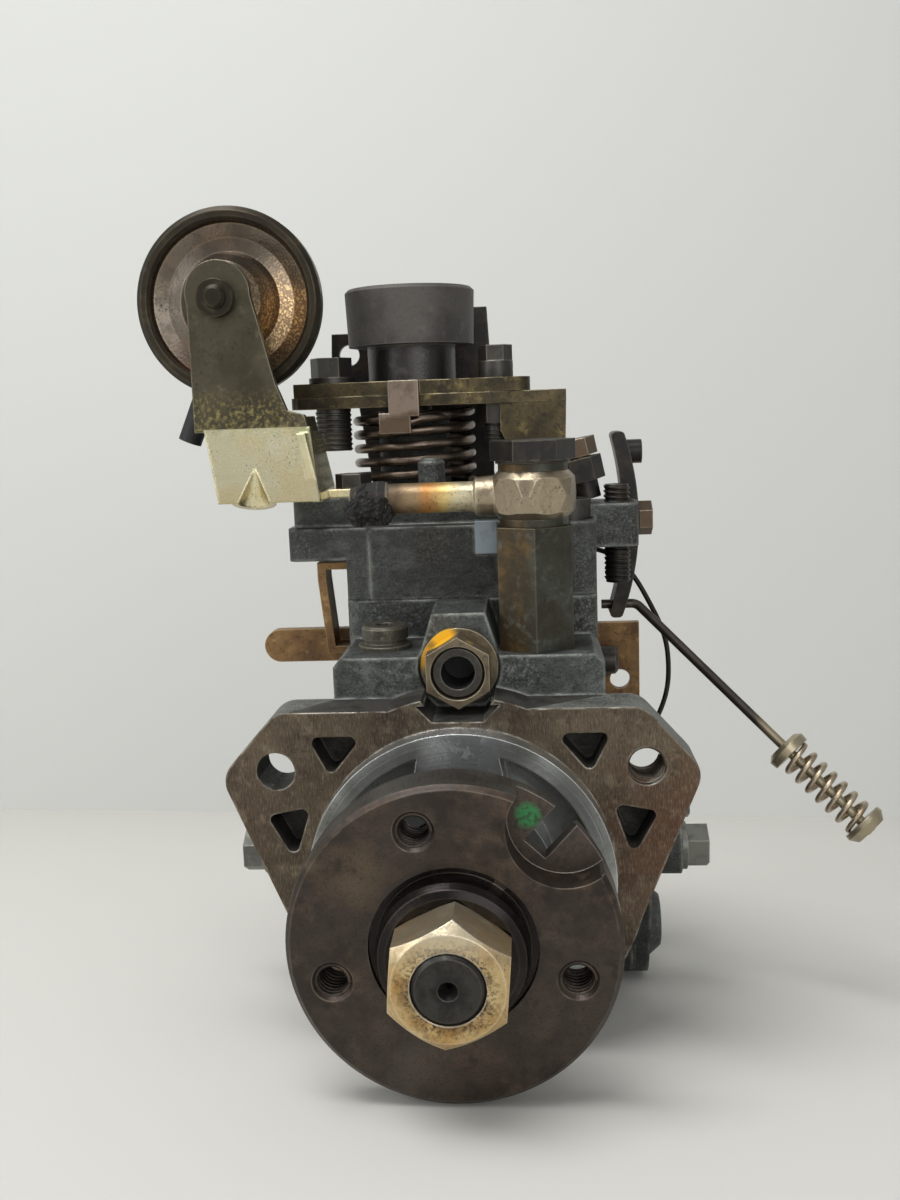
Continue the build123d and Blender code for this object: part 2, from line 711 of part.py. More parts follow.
# ================================================================ governor
carrier_back_y = gear_y + gear_width + carrier_disc
pivot_y = carrier_back_y + 2.5
with BuildPart() as governor_carrier:
    with BuildSketch(across(gear_y, 0, governor_z)):
        with BuildLine():
            Polyline(*gear_outline(governor_teeth, 90.0), close=True)
        make_face()
    extrude(amount=gear_width, dir=BACK)
    rod(governor_axis, BACK, gear_y + gear_width - 0.5, carrier_back_y - 1, 12.0)
    rod(governor_axis, BACK, gear_y + gear_width + body_gap, carrier_back_y, carrier_r)
    # Posts between the flyweights, each carrying two pin ends
    with BuildSketch(across(carrier_back_y - 1.0, 0, governor_z)):
        Circle(carrier_r - 0.3)
        Circle(flyweight_pivot_r, mode=Mode.SUBTRACT)
        for angle in (0, 90):
            with Locations(Rot(0, 0, angle)):
                Rectangle(2 * carrier_r + 2, flyweight_width + 1.4, mode=Mode.SUBTRACT)
    extrude(amount=7.0, dir=BACK)
    for angle in (0, 90, 180, 270):
        out = Vector(cos(radians(angle)), 0, sin(radians(angle)))
        across_pin = Vector(-sin(radians(angle)), 0, cos(radians(angle)))
        pin_start = out * (flyweight_pivot_r + 0.4) + Vector(0, pivot_y, governor_z)
        rod(tuple(pin_start), tuple(across_pin), -7.6, 7.6, 1.2)
    rod(governor_axis, BACK, gear_y - 1, carrier_back_y + 1, governor_shaft_r + running_gap, Mode.SUBTRACT)
save(governor_carrier.part, "governor_carrier")

weight_pivot_r = flyweight_pivot_r + 0.4
for index in range(flyweight_count):
    angle = 360.0 / flyweight_count * index
    out = Vector(cos(radians(angle)), 0, sin(radians(angle)))
    sideways = out.cross(Vector(0, 1, 0))
    near_side = Vector(0, 0, governor_z) - sideways * flyweight_width / 2
    plane = Plane(origin=near_side, x_dir=out, z_dir=sideways)
    back = 1 if plane.y_dir.Y > 0 else -1
    with BuildPart() as flyweight:
        with BuildSketch(plane):
            with BuildLine():
                Polyline(
                    (5.3, back * (pivot_y - 1.3)),
                    (13.4, back * (pivot_y - 1.3)),
                    (15.6, back * (pivot_y + 0.5)),
                    (15.6, back * (pivot_y + 12.0)),
                    (14.4, back * (pivot_y + 13.2)),
                    (8.0, back * (pivot_y + 13.2)),
                    (8.0, back * (pivot_y + 1.3)),
                    (5.3, back * (pivot_y + 1.3)),
                    close=True,
                )
            make_face()
            with Locations((weight_pivot_r, back * pivot_y)):
                Circle(1.2 + running_gap, mode=Mode.SUBTRACT)
        extrude(amount=flyweight_width)
    save(flyweight.part, f"flyweight_{index + 1}")

collar_y = pivot_y + 1.3 + body_gap
lever_face_y = lever_y - lever_thick / 2
with BuildPart() as governor_sleeve:
    turn(governor_axis, BACK, (
        (collar_y, governor_shaft_r + running_gap),
        (collar_y, sleeve_collar_r),
        (collar_y + 2.0, sleeve_collar_r),
        (collar_y + 2.6, sleeve_r),
        (lever_face_y - sleeve_gap - 1.6, sleeve_r),
        (lever_face_y - sleeve_gap, sleeve_r - 1.1),
        (lever_face_y - sleeve_gap, governor_shaft_r + running_gap),
    ))
save(governor_sleeve.part, "governor_sleeve")

fork_half = 21.5
with BuildPart() as governor_lever:
    with BuildSketch(across(lever_face_y)) as lever_outline:
        with BuildLine():
            Polyline(
                (-3.5, 13.5), (3.5, 13.5), (5.5, 24.5), (fork_half, 24.5), (fork_half, 31.5),
                (8.0, 33.5), (5.5, 65.5), (-5.5, 65.5), (-8.0, 33.5), (-fork_half, 31.5),
                (-fork_half, 24.5), (-5.5, 24.5), close=True,
            )
        make_face()
        fillet(lever_outline.vertices(), 1.2)
        with Locations((0, 59)):
            Circle(1.7, mode=Mode.SUBTRACT)
    extrude(amount=lever_thick, dir=BACK)
    for side in (-1, 1):
        rod((0, lever_y, lever_pivot_z), (side, 0, 0), fork_half - 4.5, fork_half, 3.4)
        rod((0, lever_y, lever_pivot_z), (side, 0, 0), fork_half - 3.0, fork_half + 1, 1.5 + running_gap,
            Mode.SUBTRACT)
    rod((0, lever_y, 0), DOWN, -14, -9.5, 1.5)
    rod((0, lever_y, 0), DOWN, -9.6, -7.4, 2.0)
save(governor_lever.part, "governor_lever")

with BuildPart() as spill_sleeve:
    tube((0, 0, 0), BACK, lever_y - spill_sleeve_length / 2, lever_y + spill_sleeve_length / 2,
         spill_sleeve_r, plunger_r + running_gap)
    rod((0, lever_y, 0), DOWN, -12, -6.8, 2.0 + body_gap, Mode.SUBTRACT)
save(spill_sleeve.part, "spill_sleeve")

with BuildPart() as governor_shaft:
    turn(governor_axis, BACK, (
        (governor_nut_y + 0.8, 3.8),
        (governor_nut_y + 0.8, governor_thread_r - 0.6),
        (governor_nut_y + 1.4, governor_thread_r),
        (gear_y - 2, governor_thread_r),
        (gear_y - 2, governor_shaft_r),
        (lever_face_y - 1.2, governor_shaft_r),
        (lever_face_y - 0.7, 0),
        (governor_nut_y + 12, 0),
        (governor_nut_y + 12, 3.8),
    ))
save(governor_shaft.part, "governor_shaft")

with BuildPart() as governor_shaft_nut:
    hexagon(governor_axis, BACK, governor_nut_y, governor_nut_y + governor_nut_height,
            governor_nut_flats, governor_thread_r + seat_gap)
save(governor_shaft_nut.part, "governor_shaft_nut")

# ================================================================ roller ring and timing piston
with BuildPart() as roller_ring:
    tube((0, 0, 0), BACK, ring_y, ring_y + ring_thick, bore_r - running_gap, ring_bore_r)
    with BuildSketch(across(ring_y)):
        with Locations((0, ring_flat_z + 10)):
            Rectangle(80, 20)
    extrude(amount=ring_thick, dir=BACK, mode=Mode.SUBTRACT)
    for angle in roller_angles:
        out = (cos(radians(angle)), 0, sin(radians(angle)))
        with BuildSketch(across(ring_y)):
            with Locations(Rot(0, 0, angle)):
                with Locations((roller_inner_r + roller_length / 2, 0)):
                    Rectangle(roller_length + 2 * body_gap, 2 * (roller_r + body_gap))
        extrude(amount=ring_thick, dir=BACK, mode=Mode.SUBTRACT)
        rod((0, roller_y, 0), out, ring_bore_r + 0.6, roller_inner_r + roller_length + 2, roller_pin_r)
    # Ball-ended pin that the timing piston pushes
    rod((0, timer_y, 0), DOWN, bore_r - 2, -timer_z, timer_neck_r)
    with Locations((0, timer_y, timer_z)):
        Sphere(timer_ball_r)
save(roller_ring.part, "roller_ring")

for index, angle in enumerate(roller_angles):
    out = (cos(radians(angle)), 0, sin(radians(angle)))
    with BuildPart() as roller:
        turn((0, roller_y, 0), out, (
            (roller_inner_r, roller_pin_r + running_gap),
            (roller_inner_r, roller_r - 0.5),
            (roller_inner_r + 0.5, roller_r),
            (roller_inner_r + roller_length - 0.5, roller_r),
            (roller_inner_r + roller_length, roller_r - 0.5),
            (roller_inner_r + roller_length, roller_pin_r + running_gap),
        ))
    save(roller.part, f"roller_{index + 1}")

with BuildPart() as timer_piston:
    turn(timer_axis, RIGHT, (
        (-18, 0), (-18, 9.0), (-17, timer_bore_r - running_gap), (17, timer_bore_r - running_gap),
        (18, 9.0), (18, 6.0), (10, 6.0), (10, 0),
    ))
    rod(timer_axis, DOWN, -timer_bore_r - 1, timer_ball_r + 0.6, timer_ball_r + 0.2, Mode.SUBTRACT)
save(timer_piston.part, "timer_piston")

# ================================================================ distributor head
head_back_y = housing_back_y + head_flange_thick + head_body_length
spring_x = 14.5
with BuildPart() as distributor_head:
    rod((0, 0, 0), BACK, head_y, housing_back_y + 1, bore_r - seat_gap)
    with BuildSketch(across(housing_back_y)):
        Circle(33.0)
        for angle in head_screw_angles:
            with Locations(on_circle(head_screw_circle_r, angle)):
                Circle(6.5)
        with Locations((0, 12)):
            Rectangle(44, 30)
    extrude(amount=head_flange_thick, dir=BACK)
    turn((0, 0, 0), BACK, (
        (housing_back_y + head_flange_thick - 1, 0),
        (housing_back_y + head_flange_thick - 1, 29.0),
        (head_back_y - 2, 28.0),
        (head_back_y, 26.0),
        (head_back_y, 0),
    ))
    hexagon((0, 0, 0), BACK, head_back_y - 1, head_back_y + 7, 17.0)
    for angle in port_angles:
        port_x, port_z = on_circle(port_circle_r, angle)
        rod((port_x, 0, port_z), BACK, head_back_y - 1, head_back_y + 3, 8.6)
        rod((port_x, 0, port_z), BACK, head_back_y - 10, head_back_y + 4, 6.5 + seat_gap, Mode.SUBTRACT)
    # Raised seat of the fuel shut-off solenoid
    rod((0, housing_back_y + 14, 0), UP, 20, 33.5, 9.5)
    rod((0, housing_back_y + 14, 0), UP, 22, 34, 7.0 + seat_gap, Mode.SUBTRACT)
    for angle in head_screw_angles:
        screw_x, screw_z = on_circle(head_screw_circle_r, angle)
        rod((screw_x, 0, screw_z), BACK, housing_back_y - 1, housing_back_y + head_flange_thick + 1,
            m6_r + seat_gap, Mode.SUBTRACT)
        # flat under each screw head
        rod((screw_x, 0, screw_z), BACK, housing_back_y + head_flange_thick,
            housing_back_y + head_flange_thick + 8, m6_socket_r + 0.6, Mode.SUBTRACT)
    rod((0, 0, 0), BACK, head_y - 1, head_y + 24, plunger_r + running_gap, Mode.SUBTRACT)
    for side in (-1, 1):
        rod((side * spring_x, 0, 0), BACK, head_y - 1, head_y + 2.5, 5.0, Mode.SUBTRACT)
save(distributor_head.part, "distributor_head")

with BuildPart() as plunger_spring_set:
    bridge_y = cam_back_y + 0.6
    with BuildSketch(across(bridge_y)):
        SlotOverall(39.0, 11.0)
        Circle(10.2)
        Circle(9.0, mode=Mode.SUBTRACT)
    extrude(amount=2.4, dir=BACK)
    for side in (-1, 1):
        coil((side * spring_x, bridge_y + 2.4 + 0.75, 0), BACK, head_y + 2.5 - bridge_y - 3.95, 3.2, 0.7, 4)
save(plunger_spring_set.part, "plunger_spring_set")

holder_y = head_back_y + 3
with BuildPart() as delivery_holders:
    for angle in port_angles:
        port_x, port_z = on_circle(port_circle_r, angle)
        seat = (port_x, 0, port_z)
        rod(seat, BACK, holder_y - 12, holder_y + 1, 6.5)
        hexagon(seat, BACK, holder_y, holder_y + 9, 14.0)
        turn(seat, BACK, (
            (holder_y + 8, 0), (holder_y + 8, 6.6), (holder_y + 10, 6.6), (holder_y + 11, 6.0),
            (holder_y + 28, 6.0), (holder_y + 30, 4.0), (holder_y + 30, 0),
        ))
        turn(seat, BACK, (
            (holder_y + 12, 0), (holder_y + 12, 1.4), (holder_y + 27, 1.4), (holder_y + 31, 3.4),
            (holder_y + 31, 0),
        ), Mode.SUBTRACT)
save(delivery_holders.part, "delivery_holders")

solenoid_y = housing_back_y + 14
with BuildPart() as fuel_cut_solenoid:
    rod((0, solenoid_y, 0), UP, 22.2, 34, 7.0)
    hexagon((0, solenoid_y, 0), UP, 33.5, 39, 22.0)
    turn((0, solenoid_y, 0), UP, (
        (38, 0), (38, 10.5), (39, 11.0), (58, 11.0), (59.5, 9.5), (59.5, 5.0), (64, 4.4), (64, 2.0),
        (70, 2.0), (70, 0),
    ))
save(fuel_cut_solenoid.part, "fuel_cut_solenoid")

# ================================================================ timing cylinder covers
cover_plate_thick = 4.4
ear_height = 12.0
with BuildPart() as timer_covers:
    for side in (-1, 1):
        face_x = side * timer_half
        with BuildSketch(side_on(face_x)):
            for y, z, r in ((timer_y, timer_z, timer_boss_r), (ear_front_y, ear_z, ear_r),
                            (ear_back_y, ear_z, ear_r)):
                with Locations((y, z)):
                    Circle(r)
            make_hull()
        extrude(amount=cover_plate_thick, dir=(side, 0, 0))
        for ear_y in (ear_front_y, ear_back_y):
            rod((0, ear_y, ear_z), (side, 0, 0), timer_half + 1, timer_half + ear_height, ear_r - 0.2)
            rod((0, ear_y, ear_z), (side, 0, 0), timer_half - 1, timer_half + ear_height + 1,
                m6_r + seat_gap, Mode.SUBTRACT)
        # Dome over the end of the piston
        turn(timer_axis, (side, 0, 0), (
            (timer_half + 1, 0), (timer_half + 1, 10.5), (timer_half + cover_plate_thick + 1, 9.5),
            (timer_half + cover_plate_thick + 4, 7.0), (timer_half + cover_plate_thick + 4, 0),
        ))
        rod(timer_axis, (side, 0, 0), timer_half - 1, timer_half + 3, 6.0, Mode.SUBTRACT)
save(timer_covers.part, "timer_covers")

# ================================================================ governor cover
lug_right_x = 44.5
lug_y = 57.0
lug_top_z = 78.0
speed_screw_x = 39.4
idle_x = 30.6
idle_lean = 12.0
anchor_x = -7.6
anchor_y = 48.0
anchor_r = 3.4
full_load_x = 21.0
full_load_z = 66.0
side_boss_end = 41.0
foot_screws = ((-14.0, 97.0), (0.0, 97.0), (-27.5, 48.0))

with BuildPart() as governor_cover:
    with BuildSketch(Plane.XY.offset(housing_top_z)) as wall_plan:
        with BuildLine():
            Polyline(
                (housing_left_x, cover_front_y),
                (housing_right_x, cover_front_y),
                (housing_right_x, housing_back_y),
                (housing_left_x, housing_back_y),
                close=True,
            )
        make_face()
        fillet(wall_plan.vertices(), 3.5)
    extrude(amount=cover_step_z - housing_top_z + 1)
    # Overhanging middle storey
    with BuildSketch(Plane.XY.offset(cover_step_z)) as ledge_plan:
        with BuildLine():
            Polyline(
                (cover_left_x, cover_front_y), (housing_right_x, cover_front_y),
                (housing_right_x, housing_back_y), (housing_left_x, housing_back_y),
                (housing_left_x, 84), (cover_left_x, 78), close=True,
            )
        make_face()
        fillet(ledge_plan.vertices(), 3.0)
    extrude(amount=cover_ledge_z - cover_step_z)
    # Upper storey, set back from the front edge
    with BuildSketch(Plane.XY.offset(cover_ledge_z - 1)) as upper_plan:
        with BuildLine():
            Polyline(
                (cover_left_x + 0.6, cover_front_y + 5), (24, cover_front_y + 5), (27, 52), (27, 94),
                (22, 102), (-26, 102), (-27, 82), (cover_left_x + 0.6, 76), close=True,
            )
        make_face()
        fillet(upper_plan.vertices(), 3.0)
    extrude(amount=cover_top_z - cover_ledge_z + 1)
    # Raised panel and bright pad on the front
    with BuildSketch(across(cover_front_y - 0.9)):
        with Locations(((-22.7 + 9.2) / 2, (housing_top_z + cover_ledge_z) / 2)):
            Rectangle(31.9, cover_ledge_z - housing_top_z)
    extrude(amount=3, dir=BACK)
    with BuildSketch(across(cover_front_y - 2.0)):
        with Locations((6.2, 72.0)):
            Rectangle(5.4, 8.0)
    extrude(amount=4, dir=BACK)
    # Lug of the speed screws, boss of the side lever and boss of the full-load screw
    with BuildSketch(Plane.XY.offset(cover_step_z)) as lug_plan:
        with BuildLine():
            Polyline(
                (25, lug_y - 8), (lug_right_x, lug_y - 8), (lug_right_x, lug_y + 7), (25, lug_y + 7),
                close=True,
            )
        make_face()
        fillet(lug_plan.vertices().group_by(Axis.X)[-1], 3.5)
    extrude(amount=lug_top_z - cover_step_z)
    rod((0, side_pivot_y, side_pivot_z), RIGHT, 28, side_boss_end, 5.5)
    rod((full_load_x, 0, full_load_z), BACK, housing_back_y - 4, housing_back_y + 7, 7.0)
    # Bearing tower of the throttle shaft, and the post that holds the spring's leg
    turn((throttle_x, throttle_y, 0), UP, (
        (cover_top_z - 1, 0), (cover_top_z - 1, tower_r + 2), (cover_top_z + 1, tower_r),
        (tower_top_z, tower_r), (tower_top_z, 0),
    ))
    turn((anchor_x, anchor_y, 0), UP, (
        (cover_top_z - 1, 0), (cover_top_z - 1, anchor_r), (90, anchor_r), (91, anchor_r - 1), (91, 0),
    ))
    # Chamber, open below
    with BuildSketch(Plane.XY.offset(housing_top_z - 1)):
        with BuildLine():
            Polyline(
                (housing_left_x + housing_wall, gear_y - 2),
                (housing_right_x - housing_wall, gear_y - 2),
                (housing_right_x - housing_wall, cavity_back_y),
                (housing_left_x + housing_wall, cavity_back_y),
                close=True,
            )
        make_face()
        for screw_x, screw_y in cover_screws[2:]:
            with Locations((screw_x, screw_y)):
                Circle(column_r + 1, mode=Mode.SUBTRACT)
    extrude(amount=cover_top_z - cover_roof - housing_top_z + 1, mode=Mode.SUBTRACT)
    # Bores: throttle shaft, cover screws with sunk heads, speed screws, pivots
    rod((throttle_x, throttle_y, 0), UP, cover_top_z - 9, tower_top_z + 1,
        throttle_shaft_r + running_gap, Mode.SUBTRACT)
    for screw_x, screw_y in cover_screws:
        rod((screw_x, screw_y, 0), UP, housing_top_z - 1, cover_top_z + 1,
            m6_r + seat_gap, Mode.SUBTRACT)
        rod((screw_x, screw_y, 0), UP, cover_ledge_z - 1, cover_top_z + 1,
            m6_socket_r + 0.5, Mode.SUBTRACT)
    for screw_x, screw_y in foot_screws:
        rod((screw_x, screw_y, 0), UP, cover_top_z - 3.4, cover_top_z + 1,
            m5_r + seat_gap, Mode.SUBTRACT)
    rod((speed_screw_x, lug_y, 0), UP, cover_step_z - 1, lug_top_z + 1,
        m6_r + seat_gap, Mode.SUBTRACT)
    rod((0, side_pivot_y, side_pivot_z), RIGHT, side_boss_end - 8, side_boss_end + 1,
        m5_r + seat_gap, Mode.SUBTRACT)
    rod((full_load_x, 0, full_load_z), BACK, housing_back_y - 5, housing_back_y + 8,
        m6_r + seat_gap, Mode.SUBTRACT)
save(governor_cover.part, "governor_cover")

# ================================================================ inlet fitting
banjo_z = pillar_top_z + copper_thick
banjo_bolt_z = banjo_z + banjo_height + copper_thick
bolt_shank_r = 4.9
pillar = (pillar_x, pillar_y, 0)
with BuildPart() as inlet_pillar:
    hexagon(pillar, UP, deck_top_z, pillar_top_z, pillar_flats, turned=30.0)
    rod(pillar, UP, deck_top_z - pillar_thread_depth + 0.5, deck_top_z + 1, pillar_thread_r)
    rod(pillar, UP, pillar_top_z - 16, pillar_top_z + 1, bolt_shank_r + seat_gap, Mode.SUBTRACT)
    rod(pillar, UP, deck_top_z - 12, pillar_top_z, 2.5, Mode.SUBTRACT)
save(inlet_pillar.part, "inlet_pillar")

pipe_z = banjo_z + 5.1
pipe_end_x = -16.5
with BuildPart() as inlet_banjo:
    half = banjo_height / 2
    turn((pillar_x, pillar_y, banjo_z), UP, (
        (0, 0), (0, banjo_r - 2.2), (1.6, banjo_r - 0.7), (half, banjo_r),
        (banjo_height - 1.6, banjo_r - 0.7), (banjo_height, banjo_r - 2.2), (banjo_height, 0),
    ))
    # Flats forged on the round body
    hexagon(pillar, UP, banjo_z - 1, banjo_z + banjo_height + 1, 2 * banjo_r - 2.0, turned=20.0,
            mode=Mode.INTERSECT)
    turn((0, pillar_y, pipe_z), RIGHT, (
        (pipe_end_x, 0), (pipe_end_x, 3.3), (pipe_end_x + 1, 3.5), (4.0, 3.5), (4.6, 4.4),
        (8.0, 4.7), (pillar_x - 3, 4.7), (pillar_x - 3, 0),
    ))
    # Scorched end of the hose still on the pipe
    turn((0, pillar_y, pipe_z), RIGHT, (
        (-24.5, 0), (-24.5, 2.6), (-22.0, 3.6), (-18.0, 4.2), (pipe_end_x + 0.6, 3.9), (pipe_end_x + 0.6, 0),
    ))
    rod(pillar, UP, banjo_z - 1, banjo_z + banjo_height + 1, bolt_shank_r + 0.2, Mode.SUBTRACT)
    rod((0, pillar_y, pipe_z), RIGHT, -20, pillar_x - 2, 2.2, Mode.SUBTRACT)
save(inlet_banjo.part, "inlet_banjo")

with BuildPart() as banjo_bolt:
    rod(pillar, UP, pillar_top_z - 13, banjo_bolt_z + 1, bolt_shank_r)
    rod(pillar, UP, banjo_bolt_z, banjo_bolt_z + 0.8, 8.6)
    hexagon(pillar, UP, banjo_bolt_z + 0.6, banjo_bolt_z + 5.2, pillar_flats, turned=3.0)
    rod(pillar, UP, pillar_top_z - 14, banjo_z + banjo_height / 2, 2.2, Mode.SUBTRACT)
save(banjo_bolt.part, "banjo_bolt")

with BuildPart() as sealing_washers:
    for low in (pillar_top_z, banjo_z + banjo_height):
        tube(pillar, UP, low, low + copper_thick, 8.0, bolt_shank_r + 0.3)
    tube(governor_axis, BACK, governor_nut_y + governor_nut_height, governor_boss_y,
         governor_washer_r, governor_thread_r + 0.2)
save(sealing_washers.part, "sealing_washers")

with BuildPart() as pressure_valve:
    turn((valve_x, valve_y, deck_top_z), UP, (
        (-13, 0), (-13, 3.2), (-12, valve_r), (0, valve_r), (0, 6.3), (1.0, 6.3), (1.4, 5.0),
        (2.4, 5.0), (2.4, 5.5), (5.0, 5.5), (5.6, 4.9), (5.6, 2.2), (2.5, 2.2), (2.5, 0),
    ))
save(pressure_valve.part, "pressure_valve")

# ================================================================ fasteners of the body
with BuildPart() as housing_screws:
    for ear_y in (ear_front_y, ear_back_y):
        for side in (-1, 1):
            hex_bolt((side * (timer_half + ear_height), ear_y, ear_z), (side, 0, 0),
                     ear_height + m6_depth - 1)
    for angle in head_screw_angles:
        screw_x, screw_z = on_circle(head_screw_circle_r, angle)
        socket_screw((screw_x, housing_back_y + head_flange_thick, screw_z), BACK,
                     head_flange_thick + m6_depth - 1)
    for screw_x, screw_y in cover_screws:
        socket_screw((screw_x, screw_y, cover_ledge_z - 1), UP,
                     cover_ledge_z - 1 - housing_top_z + m6_depth - 1)
    for screw_x, screw_y in foot_screws:
        seat = (screw_x, screw_y, cover_top_z + bracket_thick)
        hex_bolt(seat, UP, bracket_thick + 3, m5_r, 8.0, 3.5, False)
save(housing_screws.part, "housing_screws")

with BuildPart() as pivot_screws:
    for side in (-1, 1):
        reach = housing_right_x if side > 0 else -housing_left_x
        pivot = (0, lever_y, lever_pivot_z)
        rod(pivot, (side, 0, 0), fork_half - 2.6, fork_half + 4, 1.5)
        rod(pivot, (side, 0, 0), fork_half + 1.0, reach + 4, m6_r)
        turn(pivot, (side, 0, 0), (
            (reach + 2.6, 0), (reach + 2.6, 4.2), (reach + 8.0, 4.2), (reach + 8.8, 3.4), (reach + 8.8, 0),
        ))
    hex_bolt((46.2, side_pivot_y, side_pivot_z), RIGHT, 12.5, m5_r, 8.0, 3.6, False)
save(pivot_screws.part, "pivot_screws")

with BuildPart() as speed_screws:
    # Upright maximum-speed screw through the lug
    rod((speed_screw_x, lug_y, 0), UP, 57.0, 82.4, m6_r)
    # Leaning stop screw with lock nut and cap nut
    lean = (-sin(radians(idle_lean)), 0, cos(radians(idle_lean)))
    idle_seat = (idle_x + 1.5, lug_y, lug_top_z)
    turn(idle_seat, lean, ((0.9, 0), (0.9, 3.6), (6, 3.6), (6, 0)))
    hexagon(idle_seat, lean, 5.5, 11.5, 10.0)
    turn(idle_seat, lean, ((11, 0), (11, 3.0), (12.2, 3.0), (12.2, 0)))
    hexagon(idle_seat, lean, 12.0, 16.5, 9.0)
    # Full-load screw with its lock nut at the back
    rod((full_load_x, 0, full_load_z), BACK, housing_back_y - 2, housing_back_y + 24, m6_r)
    hexagon((full_load_x, 0, full_load_z), BACK, housing_back_y + 7, housing_back_y + 12, m6_flats)
save(speed_screws.part, "speed_screws")

# ================================================================ throttle control
throttle = (throttle_x, throttle_y, 0)
top_plate_z = plate_z + plate_thick
top_plate_top = top_plate_z + plate_thick + 0.5
clamp_left = (-33.7, 60.0)
clamp_right = (9.0, 61.3)
with BuildPart() as throttle_shaft:
    rod(throttle, UP, 66.0, cap_z + 6, throttle_shaft_r)
    with Locations((throttle_x, throttle_y + 3.0, 65.0)):
        Cylinder(1.5, 2.4)
save(throttle_shaft.part, "throttle_shaft")

tab_y = 54.0
tab_right_x = 26.8
tab_low_z = 94.0
with BuildPart() as lever_plate:
    with BuildSketch(Plane.XY.offset(plate_z)) as plate_plan:
        with BuildLine():
            Polyline(
                (-44, 54.5), (-30, 53.5), (0, 52.5), (tab_right_x, tab_y), (tab_right_x, 66), (6, 76),
                (-8, 85), (-20, 85), (-30, 76), (-44, 67), close=True,
            )
        make_face()
        fillet(plate_plan.vertices().group_by(Axis.Y)[-1], 4.0)
        fillet(plate_plan.vertices().group_by(Axis.X)[0], 3.0)
        for spot in (clamp_left, clamp_right):
            with Locations(spot):
                Circle(m6_r + seat_gap, mode=Mode.SUBTRACT)
        with Locations((throttle_x, throttle_y)):
            Circle(throttle_shaft_r + seat_gap, mode=Mode.SUBTRACT)
    extrude(amount=plate_thick)
    # Stop tab folded down at the right
    with BuildSketch(across(tab_y)):
        with BuildLine():
            Polyline(
                (10, plate_z + 1), (tab_right_x, plate_z + 1), (tab_right_x - 0.3, tab_low_z),
                (11.5, tab_low_z), (10, tab_low_z + 3), close=True,
            )
        make_face()
    extrude(amount=2.6, dir=BACK)
save(lever_plate.part, "lever_plate")

with BuildPart() as lever_top_plate:
    with BuildSketch(Plane.XY.offset(top_plate_z)) as top_plan:
        with BuildLine():
            Polyline(
                (-43, 55), (-24, 53.2), (17.8, 52.8), (17.8, 65), (2, 72), (-6, 81), (-21, 81),
                (-28, 70), (-43, 66), close=True,
            )
        make_face()
        fillet(top_plan.vertices().group_by(Axis.X)[-1], 4.0)
        for spot in (clamp_left, clamp_right):
            with Locations(spot):
                Circle(m6_r + seat_gap, mode=Mode.SUBTRACT)
        with Locations((throttle_x, throttle_y)):
            Circle(throttle_shaft_r + seat_gap, mode=Mode.SUBTRACT)
    extrude(amount=plate_thick + 0.5)
    # Strap folded down over the edge, and the hook under it that catches the spring
    with BuildSketch(side_on(-18.0)):
        with BuildLine():
            Polyline(
                (54, top_plate_top), (49.5, top_plate_top), (49.5, 101.5), (51.3, 101.5),
                (51.3, top_plate_z), (54, top_plate_z), close=True,
            )
        make_face()
    extrude(amount=7.7)
    with BuildSketch(side_on(-20.6)):
        with BuildLine():
            Polyline((49.9, 97.3), (49.9, 102.4), (51.7, 102.4), (51.7, 97.3), close=True)
        make_face()
    extrude(amount=8.0)
save(lever_top_plate.part, "lever_top_plate")

with BuildPart() as lever_clamp_bolts:
    left = (clamp_left[0], clamp_left[1], 0)
    right = (clamp_right[0], clamp_right[1], 0)
    rod(left, UP, 95.0, top_plate_top + 3, m6_r)
    tube(left, UP, 93.2, plate_z, 4.4, 0)
    rod(left, UP, top_plate_top, top_plate_top + 1.5, 5.9)
    hexagon(left, UP, top_plate_top + 1.5, top_plate_top + 6.5, 9.4)
    rod(right, UP, 94.5, top_plate_top + 3, m6_r)
    hexagon(right, UP, 99.0, plate_z, 8.8)
    rod(right, UP, top_plate_top, top_plate_top + 4.3, 4.5)
    hexagon(right, UP, top_plate_top + 4.3, top_plate_top + 8.3, 7.6)
save(lever_clamp_bolts.part, "lever_clamp_bolts")

with BuildPart() as lever_cap:
    cap_top = cap_z + cap_height
    turn(throttle, UP, (
        (top_plate_top, throttle_shaft_r + seat_gap), (top_plate_top, neck_r), (cap_z, neck_r),
        (cap_z, cap_r - 0.5), (cap_top - 0.8, cap_r), (cap_top, cap_r - 0.8), (cap_top, cap_r - 2.6),
        (cap_top - 1.2, cap_r - 3.2), (cap_top - 1.2, 0), (cap_z + 6.1, 0),
        (cap_z + 6.1, throttle_shaft_r + seat_gap),
    ))
save(lever_cap.part, "lever_cap")

spring_mean_r = 15.2
with BuildPart() as return_spring:
    coil((throttle_x, throttle_y, cover_top_z + 1.8), UP, 18.5, spring_mean_r, 1.2, 5)
save(return_spring.part, "return_spring")

# ================================================================ side lever, link rod and its spring
lever_front_y = side_pivot_y - 5
lever_hole_z = 48.5
with BuildPart() as side_lever:
    with BuildSketch(across(lever_front_y)) as strip:
        with BuildLine():
            ThreePointArc((42.2, 95.5), (45.9, 76), (41.2, 45.5))
            Line((41.2, 45.5), (37.6, 45.5))
            ThreePointArc((37.6, 45.5), (41.7, 76), (38.6, 95.5))
            Line((38.6, 95.5), (42.2, 95.5))
        make_face()
        fillet(strip.vertices(), 1.2)
    extrude(amount=10, dir=BACK)
    rod((0, side_pivot_y, 90.0), RIGHT, 41, 47.2, 3.2)
    rod((0, side_pivot_y, side_pivot_z), RIGHT, 36, 50, m5_r + running_gap, Mode.SUBTRACT)
    rod((0, side_pivot_y, lever_hole_z), RIGHT, 30, 50, 1.25 + running_gap, Mode.SUBTRACT)
save(side_lever.part, "side_lever")

